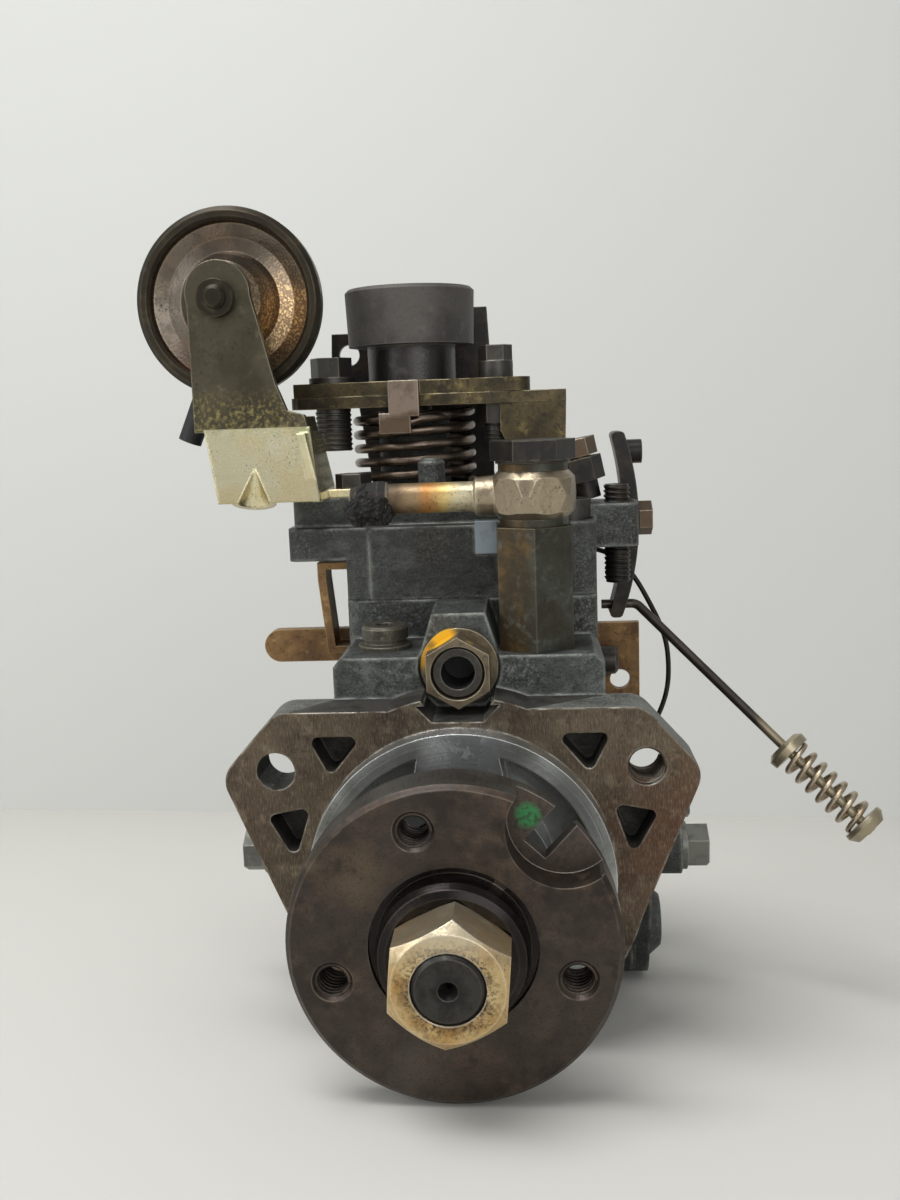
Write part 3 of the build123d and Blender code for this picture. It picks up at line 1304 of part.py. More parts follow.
link_end = Vector(101.0, 40.0, -6.0)
link_bend = Vector(45.5, side_pivot_y, lever_hole_z)
link_dir = (link_end - link_bend).normalized()
link_length = (link_end - link_bend).length
spring_from = link_length - 27.0
with BuildPart() as link_rod:
    with BuildLine() as link_path:
        FilletPolyline((36.0, side_pivot_y, lever_hole_z), tuple(link_bend), tuple(link_end), radius=3.0)
    with BuildSketch(Plane(origin=link_path.line @ 0, z_dir=link_path.line % 0)):
        Circle(1.25)
    sweep()
    # Spring seats: a fixed collar with a cup at each end
    for low, flare in ((spring_from - 3.2, 1), (link_length - 3.5, -1)):
        turn(tuple(link_bend), tuple(link_dir), (
            (low, 0), (low, 4.8 - 0.6 * flare), (low + 1.2, 5.6), (low + 3.2, 4.8 + 0.6 * flare),
            (low + 3.2, 0),
        ))
save(link_rod.part, "link_rod")

with BuildPart() as link_spring:
    coil(tuple(link_bend + link_dir * (spring_from + 0.7)), tuple(link_dir), 22.1, 3.9, 0.7, 6.5)
save(link_spring.part, "link_spring")

# ================================================================ vacuum capsule
capsule_axis = (capsule_x, 0, capsule_z)
rim_y = 46.0
nipple_shoulder = 24.5       # distance from the capsule's axis
nipple_length = 12.0
nipple_r = 2.0
capsule_rod_r = 2.5
capsule_stroke = 6.5
rod_start_y = 62.5
rod_eye_y = 87.0
rod_eye_r = 3.6
with BuildPart() as vacuum_capsule:
    turn(capsule_axis, BACK, (
        (31.6, 0), (31.6, 2.0), (32.4, capsule_stud_r), (33.0, capsule_stud_r), (33.0, 4.5),
        (bracket_y, 4.5), (bracket_y, capsule_stud_r), (bracket_y + bracket_thick, capsule_stud_r),
        (bracket_y + bracket_thick, 7.0),
        (40.5, 9.5), (45.5, 11.5), (49.0, 12.5), (49.8, 16.0), (48.6, 19.4), (rim_y + 0.6, 19.8),
        (rim_y, 20.6), (rim_y, 22.0), (rim_y + 1.2, capsule_r), (rim_y + 4.3, capsule_r),
        (rim_y + 5.5, 22.0), (rim_y + 6.5, 20.4), (58.0, 19.2), (64.0, 13.5), (67.5, 8.0),
        (67.5, capsule_rod_r + running_gap), (rod_start_y - capsule_stroke, capsule_rod_r + running_gap),
        (rod_start_y - capsule_stroke, 0),
    ))
    # Vacuum nipple slanting down from the back shell
    nipple_start = (capsule_x, 56, capsule_z)
    nipple_dir = (-0.396108, 0, -0.918204)
    rod(nipple_start, nipple_dir, 14, nipple_shoulder, 3.0)
    rod(nipple_start, nipple_dir, 14, nipple_shoulder + nipple_length, nipple_r)
    rod(nipple_start, nipple_dir, 18, nipple_shoulder + nipple_length + 1, 1.1, Mode.SUBTRACT)
save(vacuum_capsule.part, "vacuum_capsule")

with BuildPart() as capsule_rod:
    rod(capsule_axis, BACK, rod_start_y, rod_eye_y - 3, capsule_rod_r)
    turn(capsule_axis, BACK, (
        (rod_eye_y - 4, 0), (rod_eye_y - 4, rod_eye_r), (rod_eye_y + 3, rod_eye_r),
        (rod_eye_y + 4, rod_eye_r - 0.8), (rod_eye_y + 4, 0),
    ))
    rod((capsule_x, rod_eye_y, capsule_z), RIGHT, -5, 5, 1.6, Mode.SUBTRACT)
save(capsule_rod.part, "capsule_rod")

leaf_low_y = 29.0
leaf_low_z = 82.3
leaf_top_z = 100.0
leaf_dir = (0, leaf_low_y - bracket_y, leaf_low_z - leaf_top_z)
dart_x = -49.0
dart_z = 90.5
dart_y = bracket_y + (dart_z - leaf_top_z) * (bracket_y - leaf_low_y) / (leaf_top_z - leaf_low_z)
dart_length = 8.8
dart_wall = 1.2
dart_base_r = 5.4
side_flange_y = 31.0
flange_back_y = 54.0
foot_left_x = -34.6
foot_right_x = -22.5
with BuildPart() as capsule_bracket:
    # Lower leaf leans forward; it is cut from a slanting slab by its front outline
    with BuildSketch(side_on(-70)):
        with BuildLine():
            Polyline(
                (bracket_y, leaf_top_z), (bracket_y + bracket_thick, leaf_top_z),
                (leaf_low_y + bracket_thick + 0.2, leaf_low_z), (leaf_low_y, leaf_low_z), close=True,
            )
        make_face()
    extrude(amount=45)
    with BuildSketch(across(20)):
        with BuildLine():
            Polyline((-62.2, 101), (-36.0, 101), (-33.0, 82.2), (-57.6, 82.2), close=True)
        make_face()
    extrude(amount=30, dir=BACK, mode=Mode.INTERSECT)
    # Stiffening dart pressed into the lower edge: a cone behind, hollow in front
    dart = (dart_x, dart_y, dart_z)
    turn(dart, leaf_dir, ((-1.0, 0), (dart_length, dart_base_r), (dart_length, 0)))
    with BuildSketch(side_on(dart_x - 9)):
        with BuildLine():
            Polyline(
                (bracket_y, leaf_top_z), (leaf_low_y, leaf_low_z), (leaf_low_y - 8, leaf_low_z),
                (leaf_low_y - 8, leaf_top_z), close=True,
            )
        make_face()
    extrude(amount=18, mode=Mode.SUBTRACT)
    turn(dart, leaf_dir, (
        (0, 0), (dart_length + 1, dart_base_r - dart_wall), (dart_length + 1, 0),
    ), Mode.SUBTRACT)
    # Upright strip with a round top that carries the capsule
    with BuildSketch(across(bracket_y)):
        with BuildLine():
            Polyline(
                (-64.2, 99.3), (-36.3, 99.3), (-37.0, 102.8), (-41.2, 104.0), (-43.6, 110.3),
                (-48.7, capsule_z + 1), (-64.0, capsule_z + 1), close=True,
            )
        make_face()
        with Locations((capsule_x, capsule_z + 1.2)):
            Circle(7.9)
        with Locations((capsule_x, capsule_z)):
            Circle(capsule_stud_r + seat_gap, mode=Mode.SUBTRACT)
    extrude(amount=bracket_thick, dir=BACK)
    # Side flange towards the pump, and its foot on the cover
    with BuildSketch(across(side_flange_y)):
        with BuildLine():
            Polyline((-38.4, 98.5), (-36.2, 98.5), (-32.8, 82.0), (-35.0, 82.0), close=True)
        make_face()
    extrude(amount=flange_back_y - side_flange_y, dir=BACK)
    with BuildSketch(across(bracket_y + 0.4)):
        with BuildLine():
            Polyline((-39.2, 102.4), (-37.0, 102.4), (-36.2, 98.2), (-38.4, 98.2), close=True)
        make_face()
    extrude(amount=14, dir=BACK)
    with BuildSketch(Plane.XY.offset(cover_top_z)) as foot_plan:
        with BuildLine():
            Polyline(
                (foot_left_x, 42), (foot_right_x, 42), (foot_right_x, flange_back_y),
                (foot_left_x, flange_back_y), close=True,
            )
        make_face()
        fillet(foot_plan.vertices().group_by(Axis.X)[-1], 3.0)
        with Locations(foot_screws[2]):
            Circle(m5_r + seat_gap, mode=Mode.SUBTRACT)
    extrude(amount=bracket_thick)
save(capsule_bracket.part, "capsule_bracket")

# ================================================================ cable bracket and side stays
with BuildPart() as cable_bracket:
    with BuildSketch(across(90.0)) as cable_outline:
        with BuildLine():
            Polyline(
                (-28, cover_top_z), (7, cover_top_z), (7.5, 104), (6.2, 131), (2.6, 131), (2.2, 121),
                (-28.5, 121), (-30, 125), (-38, 125), (-38.6, 112), (-31, 104), close=True,
            )
        make_face()
        fillet(cable_outline.vertices().group_by(Axis.X)[0], 2.0)
        with Locations((-33.2, 119.0)):
            Circle(2.9, mode=Mode.SUBTRACT)
    extrude(amount=bracket_thick, dir=BACK)
    with BuildSketch(Plane.XY.offset(cover_top_z)):
        with BuildLine():
            Polyline((-21, 91), (7, 91), (7, 101.5), (-21, 101.5), close=True)
        make_face()
        for spot in foot_screws[:2]:
            with Locations(spot):
                Circle(m5_r + seat_gap, mode=Mode.SUBTRACT)
    extrude(amount=bracket_thick)
save(cable_bracket.part, "cable_bracket")

with BuildPart() as left_stay:
    # Bent clip against the housing wall
    with BuildSketch(across(50.0)):
        with BuildLine():
            Polyline(
                (housing_left_x, 64.8), (-38.4, 64.8), (-38.4, 60.5), (-36.6, 41.0), (housing_left_x, 41.0),
                (housing_left_x, 42.8), (-34.6, 42.8), (-36.2, 60.5), (-36.2, 63.0), (housing_left_x, 63.0),
                close=True,
            )
        make_face()
    extrude(amount=9, dir=BACK)
    # Flat tongue standing out to the left
    with BuildSketch(across(58.0)):
        with BuildLine():
            Polyline(
                (housing_left_x, 37.2), (housing_left_x, 46.0), (-50.8, 46.0), (-50.8, 37.2), close=True,
            )
        make_face()
        with Locations((-50.8, 41.6)):
            Circle(4.4)
    extrude(amount=3, dir=BACK)
save(left_stay.part, "left_stay")

with BuildPart() as right_stay:
    foot_x = housing_right_x
    with BuildSketch(side_on(foot_x)):
        with BuildLine():
            Polyline((87.5, 21), (103, 21), (103, 38), (87.5, 35), close=True)
        make_face()
        with Locations((lever_y, lever_pivot_z)):
            Circle(m6_r + seat_gap, mode=Mode.SUBTRACT)
    extrude(amount=2.4)
    with BuildSketch(across(100.5)):
        with BuildLine():
            Polyline((foot_x, 21), (41, 14), (48.8, 14), (48.8, 38), (foot_x, 38), close=True)
        make_face()
        with Locations((43.0, 20.5)):
            Circle(3.0, mode=Mode.SUBTRACT)
    extrude(amount=2.5, dir=BACK)
save(right_stay.part, "right_stay")

wire_y = 80.0
wire_points = ((33.5, wire_y, 63.4), (39.5, wire_y, 61.5), (45.0, wire_y, 55.5), (51.5, wire_y, 45.0),
               (55.2, wire_y, 31.0), (53.0, wire_y, 15.0), (46.5, wire_y, 3.0), (39.5, wire_y, -1.0))
with BuildPart() as side_wire:
    with BuildLine() as wire_path:
        FilletPolyline(*wire_points, radius=4.0)
    with BuildSketch(Plane(origin=wire_path.line @ 0, z_dir=wire_path.line % 0)):
        Circle(0.7)
    sweep()
save(side_wire.part, "side_wire")
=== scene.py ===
import bpy
import bmesh
import math
from mathutils import Euler, Matrix, Vector, noise


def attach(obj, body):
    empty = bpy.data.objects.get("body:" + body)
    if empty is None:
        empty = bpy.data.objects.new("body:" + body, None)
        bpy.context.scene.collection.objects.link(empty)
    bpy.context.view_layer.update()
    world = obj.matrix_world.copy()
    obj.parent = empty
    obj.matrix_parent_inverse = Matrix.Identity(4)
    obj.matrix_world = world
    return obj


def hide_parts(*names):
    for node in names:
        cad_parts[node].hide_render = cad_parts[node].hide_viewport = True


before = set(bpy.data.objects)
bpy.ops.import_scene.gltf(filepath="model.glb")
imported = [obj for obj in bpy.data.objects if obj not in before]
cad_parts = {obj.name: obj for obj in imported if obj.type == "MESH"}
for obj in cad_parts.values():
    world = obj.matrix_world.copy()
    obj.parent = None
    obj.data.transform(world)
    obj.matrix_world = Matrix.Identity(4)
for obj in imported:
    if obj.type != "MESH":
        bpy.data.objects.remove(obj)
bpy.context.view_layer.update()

# ---------------------------------------------------------------- bench, lamps and camera
# The pump stands on a white bench in front of a white wall, resting on the rim of the hub
# and on the timing cylinder, so its nose points down.
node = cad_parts
MM = 0.001
bench_normal = Vector((0.0216, 0.2087, 0.978)).normalized()
bench_point = Vector((0.0, -36.6, -33.4)) * MM


def flat_white(name, shade):
    """Plain matt surface of one even shade."""
    material = bpy.data.materials.new(name)
    material.use_nodes = True
    tree = material.node_tree
    tree.nodes.clear()
    out = tree.nodes.new("ShaderNodeOutputMaterial")
    matt = tree.nodes.new("ShaderNodeBsdfDiffuse")
    matt.inputs["Color"].default_value = (*shade, 1)
    tree.links.new(matt.outputs[0], out.inputs["Surface"])
    return material


def quad(name, corners, material):
    mesh = bpy.data.meshes.new(name)
    mesh.from_pydata(corners, [], [(0, 1, 2, 3)])
    mesh.materials.append(material)
    item = bpy.data.objects.new(name, mesh)
    bpy.context.scene.collection.objects.link(item)


bench_right = Vector((1, 0, 0)) - bench_normal * bench_normal.x
bench_right.normalize()
bench_back = bench_normal.cross(bench_right)
bench_side = 3.0
bench_front = 2.0
wall_height = 3.0
wall_distance = 0.43
wall_foot = bench_point + bench_back * wall_distance
bench_white = flat_white("bench_white", (0.66, 0.65, 0.615))
wall_white = flat_white("wall_white", (0.605, 0.61, 0.585))
quad("bench", [bench_point + bench_right * x + bench_back * y for x, y in (
    (-bench_side, -bench_front), (bench_side, -bench_front),
    (bench_side, wall_distance), (-bench_side, wall_distance),
)], bench_white)
quad("wall", [wall_foot + bench_right * x + bench_normal * z for x, z in (
    (-bench_side, 0), (bench_side, 0), (bench_side, wall_height), (-bench_side, wall_height),
)], wall_white)

world = bpy.data.worlds.new("room")
bpy.context.scene.world = world
world.use_nodes = True
world.node_tree.nodes["Background"].inputs["Color"].default_value = (0.97, 0.98, 0.985, 1)
world.node_tree.nodes["Background"].inputs["Strength"].default_value = 0.42


def softbox(name, place, target, width, height, watts, colour=(1, 1, 1)):
    lamp = bpy.data.lights.new(name, "AREA")
    lamp.shape = "RECTANGLE"
    lamp.size = width
    lamp.size_y = height
    lamp.energy = watts
    lamp.color = colour
    item = bpy.data.objects.new(name, lamp)
    item.location = place
    item.rotation_euler = (Vector(target) - Vector(place)).to_track_quat("-Z", "Y").to_euler()
    bpy.context.scene.collection.objects.link(item)


pump_middle = (0.0, 0.04, 0.04)
softbox("ceiling_panel", (-0.25, -0.15, 0.95), pump_middle, 0.8, 0.5, 7.0)
softbox("left_window", (-0.8, -0.45, 0.45), pump_middle, 0.5, 0.7, 3.0, (0.97, 0.985, 1.0))
softbox("front_fill", (0.35, -0.9, 0.35), pump_middle, 0.7, 0.5, 2.6)

camera_data = bpy.data.cameras.new("camera")
camera_data.lens = 35.26
camera_data.sensor_width = 36.0
camera_data.clip_start = 0.01
camera = bpy.data.objects.new("camera", camera_data)
camera_place = Vector((16.509, -249.044, 103.167)) * MM
camera_turn = Euler([math.radians(angle) for angle in (80.728, 2.037, 3.632)])
camera.matrix_world = Matrix.LocRotScale(camera_place, camera_turn, None)
bpy.context.scene.collection.objects.link(camera)
bpy.context.scene.camera = camera
bpy.context.scene.view_settings.view_transform = "Standard"

# ---------------------------------------------------------------- pump housing
# The body is one sand-cast aluminium casting, gone grey with oil and heat. Only the flange
# face and the pilot are machined, and rust from the engine has stained the right ear.
ACROSS = (1.0, 0.0, 0.0)
BACK = (0.0, 1.0, 0.0)
UP = (0.0, 0.0, 1.0)
bevel_samples = 4


def shade(r, g, b):
    """Colour as it looks, 0 to 255 per channel, for a shader socket."""
    values = []
    for channel in (r, g, b):
        c = channel / 255
        values.append(c / 12.92 if c <= 0.04045 else ((c + 0.055) / 1.055) ** 2.4)
    return (*values, 1.0)


def noise_texture(tree, where, scale, detail):
    """Noise with the given number of blots to the metre."""
    blots = tree.nodes.new("ShaderNodeTexNoise")
    blots.inputs["Scale"].default_value = scale
    blots.inputs["Detail"].default_value = detail
    tree.links.new(where, blots.inputs["Vector"])
    return blots


def vector_step(tree, operation, first, second=None):
    """One vector calculation. The second value is a socket or three numbers."""
    step = tree.nodes.new("ShaderNodeVectorMath")
    step.operation = operation
    tree.links.new(first, step.inputs[0])
    if isinstance(second, bpy.types.NodeSocket):
        tree.links.new(second, step.inputs[1])
    elif second is not None:
        step.inputs[1].default_value = second
    return step


def drawn_out(tree, where, way, share):
    """Coordinates on which a pattern is long in one direction."""
    stretch = tree.nodes.new("ShaderNodeMapping")
    stretch.inputs["Scale"].default_value = [share if c else 1.0 for c in way]
    tree.links.new(where, stretch.inputs["Vector"])
    return stretch.outputs["Vector"]


def rounded_normal(tree, radius):
    """Normal of the surface as if its edges were rounded by the radius, in millimetres."""
    soft = tree.nodes.new("ShaderNodeBevel")
    soft.samples = bevel_samples
    soft.inputs["Radius"].default_value = radius * MM
    return soft.outputs["Normal"]


def ramp(tree, value, nothing, full):
    """Mask that is 0 where the value is at nothing and 1 where it is at full."""
    spread = tree.nodes.new("ShaderNodeMapRange")
    spread.clamp = True
    spread.inputs["From Min"].default_value = nothing
    spread.inputs["From Max"].default_value = full
    tree.links.new(value, spread.inputs["Value"])
    return spread.outputs["Result"]


streak_share = 0.14
blot_roughness = 0.62
edge_levels = (0.995, 0.86)
wander_scale = 180.0
band_wander = 6.0
spot_wander = 1.5


def patch(tree, where, pattern):
    """Mask from 0 to 1. Patterns: ("cloud", size, low, high), ("grain", size, low, high),
    ("streak", direction, size, low, high), ("spot", centre, radius, soft), ("band", axis, low, high),
    ("edge", width) and ("both", pattern, pattern), where two overlap. Sizes are in millimetres; low
    and high are noise levels, or places along a band's axis."""
    kind, *sizes = pattern
    if kind == "both":
        overlap = tree.nodes.new("ShaderNodeMath")
        overlap.operation = "MULTIPLY"
        for socket_index, part in enumerate(sizes):
            tree.links.new(patch(tree, where, part), overlap.inputs[socket_index])
        return overlap.outputs[0]
    if kind == "edge":
        (width,) = sizes
        true_normal = tree.nodes.new("ShaderNodeNewGeometry").outputs["Normal"]
        facing = vector_step(tree, "DOT_PRODUCT", rounded_normal(tree, width), true_normal)
        return ramp(tree, facing.outputs["Value"], *edge_levels)
    if kind == "streak":
        way, *sizes = sizes
        where = drawn_out(tree, where, way, streak_share)
    if kind in ("cloud", "grain", "streak"):
        size, low, high = sizes
        blots = noise_texture(tree, where, 1000.0 / size, 6.0 if kind == "cloud" else 2.0)
        blots.inputs["Roughness"].default_value = blot_roughness
        return ramp(tree, blots.outputs["Fac"], low, high)
    if kind == "spot":
        centre, radius, soft = sizes
        reach = vector_step(tree, "DISTANCE", where, [c * MM for c in centre])
        low, high, wander = radius, radius - soft, soft * spot_wander
    else:
        axis, low, high = sizes
        reach = vector_step(tree, "DOT_PRODUCT", where, axis)
        wander = band_wander
    ragged = tree.nodes.new("ShaderNodeMath")
    ragged.operation = "MULTIPLY_ADD"
    tree.links.new(noise_texture(tree, where, wander_scale, 4.0).outputs["Fac"], ragged.inputs[0])
    ragged.inputs[1].default_value = wander * MM
    tree.links.new(reach.outputs["Value"], ragged.inputs[2])
    return ramp(tree, ragged.outputs[0], (low + wander / 2) * MM, (high + wander / 2) * MM)


grinding = (0.5, 0.02)
grinding_share = 0.06
lathe_scale = 1400.0
lathe_depth = 0.03


def finish(name, colour, metal, rough, layers, bumps=(), brushed=None, turned=False, rounding=0.35):
    """Procedural finish. Each layer is (pattern, colour, metal, rough, strength); each bump is
    (size_mm, depth_mm); brushed is a direction of grinding marks, and turned gives lathe marks
    about the drive shaft's axis."""
    material = bpy.data.materials.new(name)
    material.use_nodes = True
    tree = material.node_tree
    nodes, links = tree.nodes, tree.links
    shader = nodes["Principled BSDF"]
    place = nodes.new("ShaderNodeTexCoord").outputs["Object"]
    plain = {"Base Color": colour, "Metallic": metal, "Roughness": rough}
    laid = {}

    def lay(quality, mask, new):
        """Lays a new value over the plain one or over the layers before."""
        blend = nodes.new("ShaderNodeMix")
        blend.data_type = "RGBA" if quality == "Base Color" else "FLOAT"
        under, over, result = (6, 7, 2) if quality == "Base Color" else (2, 3, 0)
        links.new(mask, blend.inputs[0])
        if quality in laid:
            links.new(laid[quality], blend.inputs[under])
        else:
            blend.inputs[under].default_value = plain[quality]
        blend.inputs[over].default_value = new
        laid[quality] = blend.outputs[result]

    for pattern, layer_colour, layer_metal, layer_rough, strength in layers:
        mask = nodes.new("ShaderNodeMath")
        mask.operation = "MULTIPLY"
        mask.inputs[1].default_value = strength
        links.new(patch(tree, place, pattern), mask.inputs[0])
        for quality, new in zip(plain, (layer_colour, layer_metal, layer_rough)):
            lay(quality, mask.outputs[0], new)
    for quality, result in laid.items():
        links.new(result, shader.inputs[quality])

    def emboss(height, depth, normal):
        """Raises the surface by the height pattern."""
        relief = nodes.new("ShaderNodeBump")
        relief.inputs["Distance"].default_value = depth * MM
        relief.inputs["Strength"].default_value = 1.0
        links.new(height, relief.inputs["Height"])
        links.new(normal, relief.inputs["Normal"])
        return relief.outputs["Normal"]

    normal = rounded_normal(tree, rounding)
    reliefs = [(size, depth, place) for size, depth in bumps]
    if brushed is not None:
        reliefs.append((*grinding, drawn_out(tree, place, brushed, grinding_share)))
    for size, depth, where in reliefs:
        normal = emboss(noise_texture(tree, where, 1000.0 / size, 3.0).outputs["Fac"], depth, normal)
    if turned:
        sideways = vector_step(tree, "MULTIPLY", place, (1.0, 0.0, 1.0))
        radius = vector_step(tree, "LENGTH", sideways.outputs["Vector"])
        rings = nodes.new("ShaderNodeTexNoise")
        rings.noise_dimensions = "1D"
        rings.inputs["Scale"].default_value = lathe_scale
        rings.inputs["Detail"].default_value = 3.0
        links.new(radius.outputs["Value"], rings.inputs["W"])
        normal = emboss(rings.outputs["Fac"], lathe_depth, normal)
    links.new(normal, shader.inputs["Normal"])
    return material


def dress(name, material):
    """Gives a CAD node its finish."""
    mesh = node[name].data
    mesh.materials.clear()
    mesh.materials.append(material)


def dress_faces(name, material, chosen):
    """Gives a second finish to the faces of a CAD node that the test picks by centre and normal."""
    mesh = node[name].data
    mesh.materials.append(material)
    index = len(mesh.materials) - 1
    for face in mesh.polygons:
        if chosen(face.center / MM, face.normal):
            face.material_index = index


def off_shaft(centre):
    """Distance of a face's centre from the drive shaft's axis."""
    return math.hypot(centre.x, centre.z)


def within(value, limits):
    """Tells whether the value lies between the two limits."""
    return limits[0] < value < limits[1]


worn_edge = ("both", ("edge", 1.5), ("cloud", 6, 0.36, 0.56))
sand_dust = ("both", ("grain", 0.62, 0.50, 0.66), ("cloud", 14, 0.42, 0.60))
cast_skin = ((0.5, 0.1), (2.2, 0.35), (9.0, 0.7))
oily_casting = finish(
    "oily_casting", shade(74, 77, 75), 0.45, 0.56,
    layers=(
        (("cloud", 30, 0.42, 0.60), shade(46, 47, 44), 0.35, 0.44, 0.9),
        (("cloud", 9, 0.50, 0.66), shade(112, 116, 112), 0.5, 0.6, 0.6),
        (("cloud", 2.5, 0.50, 0.66), shade(98, 100, 96), 0.45, 0.6, 0.5),
        (("cloud", 4, 0.54, 0.68), shade(32, 31, 28), 0.2, 0.5, 0.7),
        (("grain", 0.5, 0.50, 0.64), shade(24, 24, 22), 0.2, 0.6, 0.65),
        (sand_dust, shade(134, 138, 133), 0.35, 0.65, 0.55),
        (("band", UP, -10, -46), shade(54, 51, 46), 0.3, 0.5, 0.5),
        (("spot", (0, 12, 40), 12, 7), shade(22, 20, 18), 0.2, 0.4, 0.75),
        (worn_edge, shade(164, 167, 161), 0.6, 0.5, 0.85),
    ),
    bumps=cast_skin, rounding=0.8,
)
flange_metal = finish(
    "flange_metal", shade(98, 86, 71), 0.7, 0.42,
    layers=(
        (("cloud", 20, 0.42, 0.58), shade(64, 53, 42), 0.55, 0.46, 0.88),
        (("spot", (50, 0, 8), 26, 20), shade(92, 60, 38), 0.35, 0.55, 0.75),
        (("spot", (-50, 0, 14), 14, 12), shade(84, 66, 50), 0.4, 0.5, 0.7),
        (("spot", (0, 0, 36), 22, 16), shade(56, 50, 43), 0.4, 0.46, 0.6),
        (("cloud", 4, 0.52, 0.68), shade(138, 126, 107), 0.88, 0.35, 0.5),
        (("streak", UP, 0.36, 0.46, 0.68), shade(42, 34, 27), 0.5, 0.46, 0.45),
        (("streak", UP, 0.24, 0.52, 0.72), shade(172, 160, 140), 0.9, 0.34, 0.3),
        (("both", ("grain", 0.8, 0.56, 0.68), ("cloud", 10, 0.46, 0.6)), shade(36, 29, 23), 0.3, 0.6, 0.8),
        (("both", ("edge", 0.8), ("cloud", 5, 0.42, 0.60)), shade(206, 200, 186), 0.95, 0.32, 0.75),
    ),
    bumps=((0.7, 0.03),), brushed=UP, rounding=0.6,
)
# Painted shade: the insides of the cast pockets are painted darker, as shade in the recesses.
pocket_skin_painted_shade = finish(
    "pocket_skin_painted_shade", shade(64, 62, 57), 0.4, 0.6,
    layers=(
        (("cloud", 6, 0.45, 0.6), shade(34, 32, 29), 0.3, 0.55, 0.85),
        (("both", ("edge", 0.7), ("cloud", 5, 0.42, 0.58)), shade(128, 124, 114), 0.6, 0.5, 0.6),
    ),
    bumps=((0.6, 0.15), (2.4, 0.3)),
)
bright_machined = finish(
    "bright_machined", shade(172, 175, 173), 0.88, 0.3,
    layers=(
        (("cloud", 14, 0.44, 0.60), shade(112, 112, 106), 0.8, 0.38, 0.75),
        # Painted highlight: a pale pool of light on the top of the pilot.
        (("spot", (0, 0, 33), 12, 5), shade(230, 235, 238), 0.92, 0.24, 0.9),
        (("cloud", 3, 0.60, 0.70), shade(84, 76, 64), 0.5, 0.5, 0.55),
        (("both", ("cloud", 2, 0.54, 0.68), ("cloud", 9, 0.48, 0.6)), shade(58, 52, 44), 0.4, 0.5, 0.6),
        (("edge", 0.5), shade(232, 234, 230), 0.95, 0.25, 0.6),
    ),
    bumps=((0.6, 0.02),), turned=True,
)
dusty_rim = finish(
    "dusty_rim", shade(104, 106, 101), 0.45, 0.6,
    layers=(
        (("cloud", 8, 0.44, 0.62), shade(66, 67, 63), 0.4, 0.5, 0.8),
        (("grain", 0.6, 0.50, 0.66), shade(146, 148, 141), 0.4, 0.65, 0.6),
        (("grain", 0.5, 0.54, 0.66), shade(34, 33, 30), 0.2, 0.6, 0.6),
        (("edge", 1.2), shade(176, 176, 168), 0.6, 0.5, 0.7),
    ),
    bumps=((0.5, 0.1), (2.2, 0.35)), rounding=0.8,
)
squarely = 0.9
milled_depth = 0.6
pilot_depth = 9.0
pilot_outside = 34.2
pocket_inside = 35.0
ear_rim = (milled_depth, 12.0)
ear_rim_inside = 47.0
ear_rim_tilt = 0.4
dress("pump_housing", oily_casting)
dress_faces("pump_housing", flange_metal, lambda c, n: c.y < milled_depth and n.y < -squarely)
dress_faces("pump_housing", pocket_skin_painted_shade,
            lambda c, n: within(c.y, (milled_depth, pilot_depth)) and off_shaft(c) > pocket_inside)
dress_faces("pump_housing", dusty_rim,
            lambda c, n: within(c.y, ear_rim) and n.z > ear_rim_tilt and off_shaft(c) > ear_rim_inside)
dress_faces("pump_housing", bright_machined, lambda c, n: c.y < pilot_depth and off_shaft(c) < pilot_outside)

# ---------------------------------------------------------------- governor cover
# The lid is a thinner casting of the same metal, darker with baked oil, with one bright
# machined pad at the front. The timing cylinder's covers are cast alike; its piston is ground.
dark_casting = finish(
    "dark_casting", shade(66, 68, 65), 0.45, 0.55,
    layers=(
        (("cloud", 24, 0.42, 0.60), shade(40, 41, 38), 0.35, 0.42, 0.9),
        (("cloud", 8, 0.52, 0.68), shade(98, 101, 97), 0.5, 0.58, 0.65),
        (("cloud", 2.5, 0.50, 0.66), shade(84, 86, 82), 0.45, 0.6, 0.5),
        (("spot", (-4, 36, 68), 12, 8), shade(26, 25, 23), 0.2, 0.5, 0.75),
        (("spot", (16, 38, 70), 10, 8), shade(24, 23, 21), 0.2, 0.4, 0.8),
        (("grain", 0.5, 0.50, 0.64), shade(22, 22, 20), 0.2, 0.6, 0.65),
        (("both", ("spot", (-6, 36, 70), 9, 5), ("grain", 0.7, 0.50, 0.66)),
         shade(96, 88, 70), 0.4, 0.5, 0.4),
        (sand_dust, shade(122, 125, 120), 0.35, 0.65, 0.5),
        (worn_edge, shade(154, 156, 149), 0.6, 0.5, 0.85),
    ),
    bumps=cast_skin, rounding=0.8,
)
milled_pad = finish(
    "milled_pad", shade(134, 143, 150), 0.7, 0.4,
    layers=((("cloud", 5, 0.5, 0.66), shade(98, 104, 110), 0.6, 0.5, 0.7),),
    bumps=((0.8, 0.03),),
)
dress("governor_cover", dark_casting)
pad_front = 35.4
pad_sides = (3.0, 9.5)
pad_foot = 67.5
dress_faces("governor_cover", milled_pad,
            lambda c, n: c.y < pad_front and within(c.x, pad_sides) and c.z > pad_foot)
dress("timer_covers", dark_casting)
dress("timer_piston", bright_machined)
